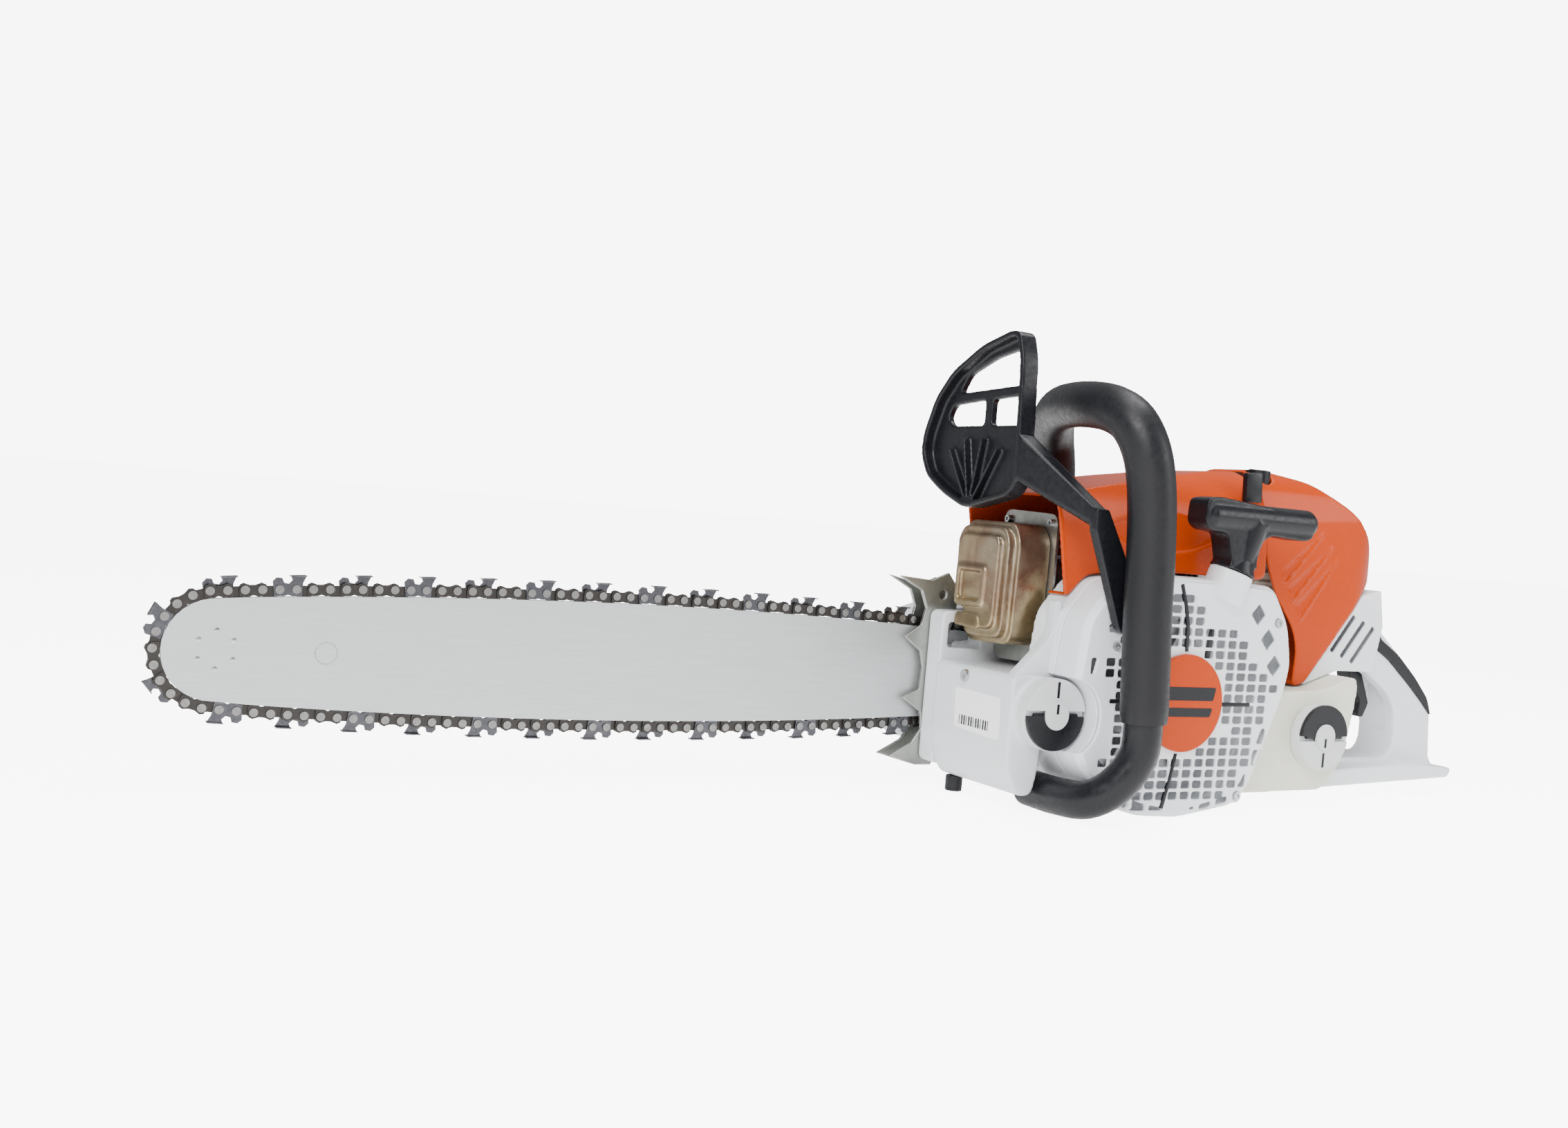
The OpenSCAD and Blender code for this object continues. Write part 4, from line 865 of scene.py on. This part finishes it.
# %% [markdown]
# ## The silencer
# Its front is pressed with a square pad that has a sunk middle and with a smaller pad below.
# The pad is joined on and its middle is cut out before the sheet is melted, so the pressing has
# rolled edges, as drawn sheet has.

# %% Silencer box
front = (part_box("muffler")[0][0] - shaft.x) / MM
pad_line = soft_corners([(-60, 52), (-27, 51), (-27, 80), (-61, 80)], 4)
sunk_line = soft_corners([(-56, 56), (-31, 55.5), (-31, 76), (-57, 76)], 3)
low_line = soft_corners([(-58, 36), (-28, 37), (-30, 47), (-56, 46)], 4)
pad = cut_plate("pad", pad_line, front + 1, front - 2.0, facing="x")
sunk = cut_plate("sunk", sunk_line, front - 3, front + 1.0, facing="x")
low_pad = cut_plate("low_pad", low_line, front + 1, front - 1.6, facing="x")
press(pad, "BEVEL", width=0.0012, segments=3)
silencer = moulded("muffler", 0.75, 7, keep=0.5, adds=[pad, low_pad], cuts=[sunk])
print("silencer triangles:", len(silencer.data.polygons))

# %% [markdown]
# ## The starter badge
# A disc with a flat face. A cylinder gets rings inset into its face and its rim bevelled, so
# that the sheen turns only at the rim. Plain bars stand where a maker would print a name.

# %% Badge
badge_low, badge_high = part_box("starter_badge")
badge_r = (badge_high[0] - badge_low[0]) / 2
badge_mid = (Vector(badge_low) + Vector(badge_high)) / 2
deselect()
bpy.ops.mesh.primitive_cylinder_add(vertices=96, radius=badge_r, depth=badge_high[1] - badge_low[1],
                                    location=badge_mid, rotation=(math.pi / 2, 0, 0))
badge = name_it("starter_badge_disc")
bpy.ops.object.transform_apply(location=True, rotation=True, scale=True)
bpy.ops.object.mode_set(mode="EDIT")
bpy.ops.mesh.select_all(action="DESELECT")
bpy.ops.object.mode_set(mode="OBJECT")
for face in badge.data.polygons:
    face.select = face.normal.y < -0.9
bpy.ops.object.mode_set(mode="EDIT")
for share in (0.04, 0.06, 0.30, 0.30):
    bpy.ops.mesh.inset(thickness=badge_r * share)
bpy.ops.object.mode_set(mode="OBJECT")
press(badge, "BEVEL", width=0.0007, segments=3, limit_method="ANGLE")
settle(badge, 30)
badge.data.materials.append(finishes["orange_plastic"])
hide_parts("starter_badge")
badge_face = (badge_low[1] - bar_plane) / MM
bars = []
for k, (left, right, low, high) in enumerate([(-22, 24, 2, 11), (-18, 22, -9, -3)]):
    bar_line = soft_corners([(left, low), (right, low), (right + 2, high), (left + 2, high)], 1.6)
    bar = cut_plate(f"badge_bar_{k}", bar_line, badge_face + 0.2, badge_face - 0.25)
    settle(bar).data.materials.append(finishes["black_plastic"])
    bars.append(bar)
print("badge radius", round(badge_r, 4))

# %% [markdown]
# ## Small parts on the starter side
# Black strips run out from the badge through the grille, and a white label sits on the front of
# the oil tank. Each is a thin plate cut to an outline.

# %% Strips, label, tank wing and screw
strips = []
for k, outline in enumerate([
    [(34.5, -2), (62, -2), (62, 0.8), (34.5, 0.8)],
    [(-63, -1.4), (-34.5, -1.4), (-34.5, 1.4), (-63, 1.4)],
    [(-1.6, 34.5), (1.2, 34.5), (0.6, 52), (-3, 66), (-8, 80), (-10.5, 79), (-5.6, 65), (-2.2, 52)],
    [(-3, -34.5), (-0.4, -34.5), (-4, -54), (-9, -72), (-11.6, -71), (-6.6, -54)],
]):
    strip = cut_plate(f"grille_strip_{k}", outline, case_front + 1.2, case_front - 0.7)
    press(strip, "BEVEL", width=0.0003, segments=2)
    settle(strip).data.materials.append(finishes["black_plastic"])
    strips.append(strip)
tank_face = (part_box("crankcase_left")[0][0] - shaft.x) / MM
label_line = soft_corners([(-51, -4), (-102, -5), (-104, -33), (-53, -31)], 3)
label = cut_plate("tank_label", label_line, tank_face + 0.1, tank_face - 0.25, facing="x")
settle(label).data.materials.append(finishes["label_white"])
marks = []
for k in range(13):
    left = -58 - k * 2.7
    right = left - (1.5 if k % 3 else 0.8)
    mark_line = [(left, -22), (right, -22), (right, -28.5), (left, -28.5)]
    mark = cut_plate(f"label_mark_{k}", mark_line, tank_face, tank_face - 0.35, facing="x")
    settle(mark).data.materials.append(finishes["black_plastic"])
    marks.append(mark)
wing_line = [(-118, 10.5), (-95, 33), (-89.5, 41), (-88.5, 62), (-84, 62), (-84, 10.5)]
wing = cut_plate("case_wing", soft_corners(wing_line, 3), -112, -103)
press(wing, "BEVEL", width=0.0012, segments=3)
settle(wing).data.materials.append(finishes["white_paint"])
deselect()
bpy.ops.mesh.primitive_cylinder_add(vertices=32, radius=0.0040, depth=0.004,
                                    location=at(tank_face - 0.3, -61.5, 5.0), rotation=(0, math.pi / 2, 0))
tank_screw = name_it("tank_screw")
bpy.ops.mesh.primitive_cylinder_add(vertices=6, radius=0.0019, depth=0.004,
                                    location=at(tank_face - 2.6, -61.5, 5.0), rotation=(0, math.pi / 2, 0))
socket_tool = name_it("socket_tool")
join_cut(tank_screw, socket_tool)
press(tank_screw, "BEVEL", width=0.0004, segments=2, limit_method="ANGLE")
settle(tank_screw).data.materials.append(finishes["fixing_steel"])

# %% [markdown]
# ## Filler caps
# Each cap has a light hub with a dark index line. The black half folds out on a hinge across
# the middle, so the hub is made in two halves: the upper one stays on the cap and the lower one
# goes with the flap.

# %% Hubs and index lines
hub_r, hub_steps, line_half = 9.5, 16, 0.9
hubs = []
for cap, flap, turn_joint, up in (
    ("oil_cap", "oil_cap_flap", "oil_cap_turn", 1),
    ("fuel_cap", "fuel_cap_flap", "fuel_cap_turn", -1),
):
    middle = Vector(joint[turn_joint]["pos_m"])
    cx, cz = (middle.x - shaft.x) / MM, (middle.z - shaft.z) / MM
    cy = (min(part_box(cap)[0][1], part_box(flap)[0][1]) - bar_plane) / MM
    for k, (owner, way) in enumerate(((cap, up), (flap, -up))):
        turns = [math.pi * i / hub_steps for i in range(hub_steps + 1)]
        arc = [(cx + hub_r * math.cos(a), cz + way * hub_r * math.sin(a)) for a in turns]
        half = cut_plate(f"{cap}_hub_{k}", arc, cy + 0.4, cy - 1.0)
        settle(half, 30).data.materials.append(finishes["cap_light"])
        hubs.append((half, owner))
    for k, (low, high, proud) in enumerate(((1.0, 7.5, 1.3), (11.5, 22.0, 0.35))):
        left, right, foot, head = cx - line_half, cx + line_half, cz + up * low, cz + up * high
        line = [(left, foot), (right, foot), (right, head), (left, head)]
        bar = cut_plate(f"{cap}_index_{k}", line, cy + 0.2, cy - proud)
        settle(bar, 30).data.materials.append(finishes["black_plastic"])
        hubs.append((bar, cap))
print("cap details:", len(hubs))

# %% [markdown]
# ## Cutters filed down
# A used chain has its top plates and depth gauges filed low. The rivets mark the chain's line,
# so each cutter vertex is measured outwards from the nearest rivet pair, and what stands higher
# than the strap is drawn in. The copy keeps every cutter in its own place on the chain.

# %% Lower cutters
rivet_mesh = nodes["chain_rivets"].data
heads = {}
parent_of = list(range(len(rivet_mesh.vertices)))


def root_of(index):
    while parent_of[index] != index:
        parent_of[index] = parent_of[parent_of[index]]
        index = parent_of[index]
    return index


spot_of = {}
for vertex in rivet_mesh.vertices:
    key = tuple(round(c, 6) for c in vertex.co)
    if key in spot_of:
        parent_of[root_of(vertex.index)] = root_of(spot_of[key])
    else:
        spot_of[key] = vertex.index
for edge_pair in rivet_mesh.edges:
    parent_of[root_of(edge_pair.vertices[0])] = root_of(edge_pair.vertices[1])
for vertex in rivet_mesh.vertices:
    heads.setdefault(root_of(vertex.index), []).append(vertex.co)
centres = [sum(group, Vector()) / len(group) for group in heads.values()]
loop_mid = sum(centres, Vector()) / len(centres)
print("rivets found:", len(centres))


def height_over_chain(point):
    """(height, outward direction) of a point over the line of the rivets."""
    near = sorted(centres, key=lambda c: (c.x - point.x) ** 2 + (c.z - point.z) ** 2)[:2]
    along = (near[1] - near[0]).normalized()
    outward = Vector((-along.z, 0, along.x))
    if outward.dot(near[0] - loop_mid) < 0:
        outward = -outward
    return (point - near[0]).dot(outward), outward


deselect()
pick(nodes["cutters"])
bpy.ops.object.duplicate()
low_cutters = name_it("cutters_filed")
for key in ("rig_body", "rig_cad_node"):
    if key in low_cutters:
        del low_cutters[key]
low_cutters.parent = None
bpy.ops.object.mode_set(mode="EDIT")
bpy.ops.mesh.select_all(action="SELECT")
bpy.ops.mesh.remove_doubles(threshold=0.000002)
bpy.ops.object.mode_set(mode="OBJECT")
strap_top = 0.0046
filed_share = 0.42
for vertex in low_cutters.data.vertices:
    rise, outward = height_over_chain(vertex.co)
    if rise > strap_top:
        vertex.co -= outward * (rise - strap_top) * filed_share
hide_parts("cutters")
print("cutter triangles:", len(low_cutters.data.polygons))

# %% [markdown]
# ## The bar nose
# A ring of small rivets holds the nose sprocket between the bar's plates. One rivet is modelled
# as a flattened cap and copied round. A small scribed circle stands a little behind them.

# %% Nose rivets
nose = Vector(joint["nose_spin"]["pos_m"])
rivet_ring, rivet_r, rivet_count = 0.011, 0.0017, 6
scribed_r, scribed_back = 0.0064, 0.0617
rivets = []
for side, letter, face in ((-1, "l", bar_low[1]), (1, "r", bar_high[1])):
    for k in range(rivet_count):
        angle = math.radians(360 / rivet_count * k + 30)
        spot = (nose.x + rivet_ring * math.cos(angle), face + side * 0.00015,
                nose.z + rivet_ring * math.sin(angle))
        deselect()
        bpy.ops.mesh.primitive_cylinder_add(vertices=20, radius=rivet_r, depth=0.0005,
                                            location=spot, rotation=(math.pi / 2, 0, 0))
        rivet = name_it(f"nose_rivet_{letter}{k}")
        press(rivet, "BEVEL", width=0.00018, segments=2)
        settle(rivet, 30).data.materials.append(finishes["fixing_steel"])
        rivets.append(rivet)
    deselect()
    bpy.ops.mesh.primitive_torus_add(major_radius=scribed_r, minor_radius=0.00022,
                                     major_segments=48, minor_segments=6,
                                     location=(nose.x + scribed_back, face, nose.z),
                                     rotation=(math.pi / 2, 0, 0))
    ring = name_it(f"nose_ring_{letter}")
    settle(ring, 60).data.materials.append(finishes["bare_steel"])
    rivets.append(ring)
print("nose rivets:", len(rivets))

# %% [markdown]
# ## Riding on the frame
# Every new piece rides on the body of the sub-part that it stands for or sits on, so that it
# moves with the saw's joints.

# %% Put each piece on its body
def ride_with(piece, node):
    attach(piece, nodes[node]["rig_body"])


riders = list(skins.items()) + [
    ("cutters", low_cutters), ("starter_cover", starter_cover), ("starter_grip", starter_grip),
    ("handle_cushion", cushion), ("top_shroud", latch_strip), ("filter_cover", filter_cover),
    ("top_shroud", top_shroud), ("handle_sheath", sleeve), ("handle_tube", lower_tube),
    ("muffler", silencer), ("starter_badge", badge), ("crankcase_left", label),
    ("crankcase_left", wing), ("crankcase_left", tank_screw),
]
riders += [("crankcase_left", mark) for mark in marks]
riders += [("starter_badge", bar) for bar in bars]
riders += [("starter_cover", strip) for strip in strips]
riders += [(owner, hub) for hub, owner in hubs]
riders += [("guide_bar", rivet) for rivet in rivets]
for node, piece in riders:
    ride_with(piece, node)
print("box at start", bounds_at_start)
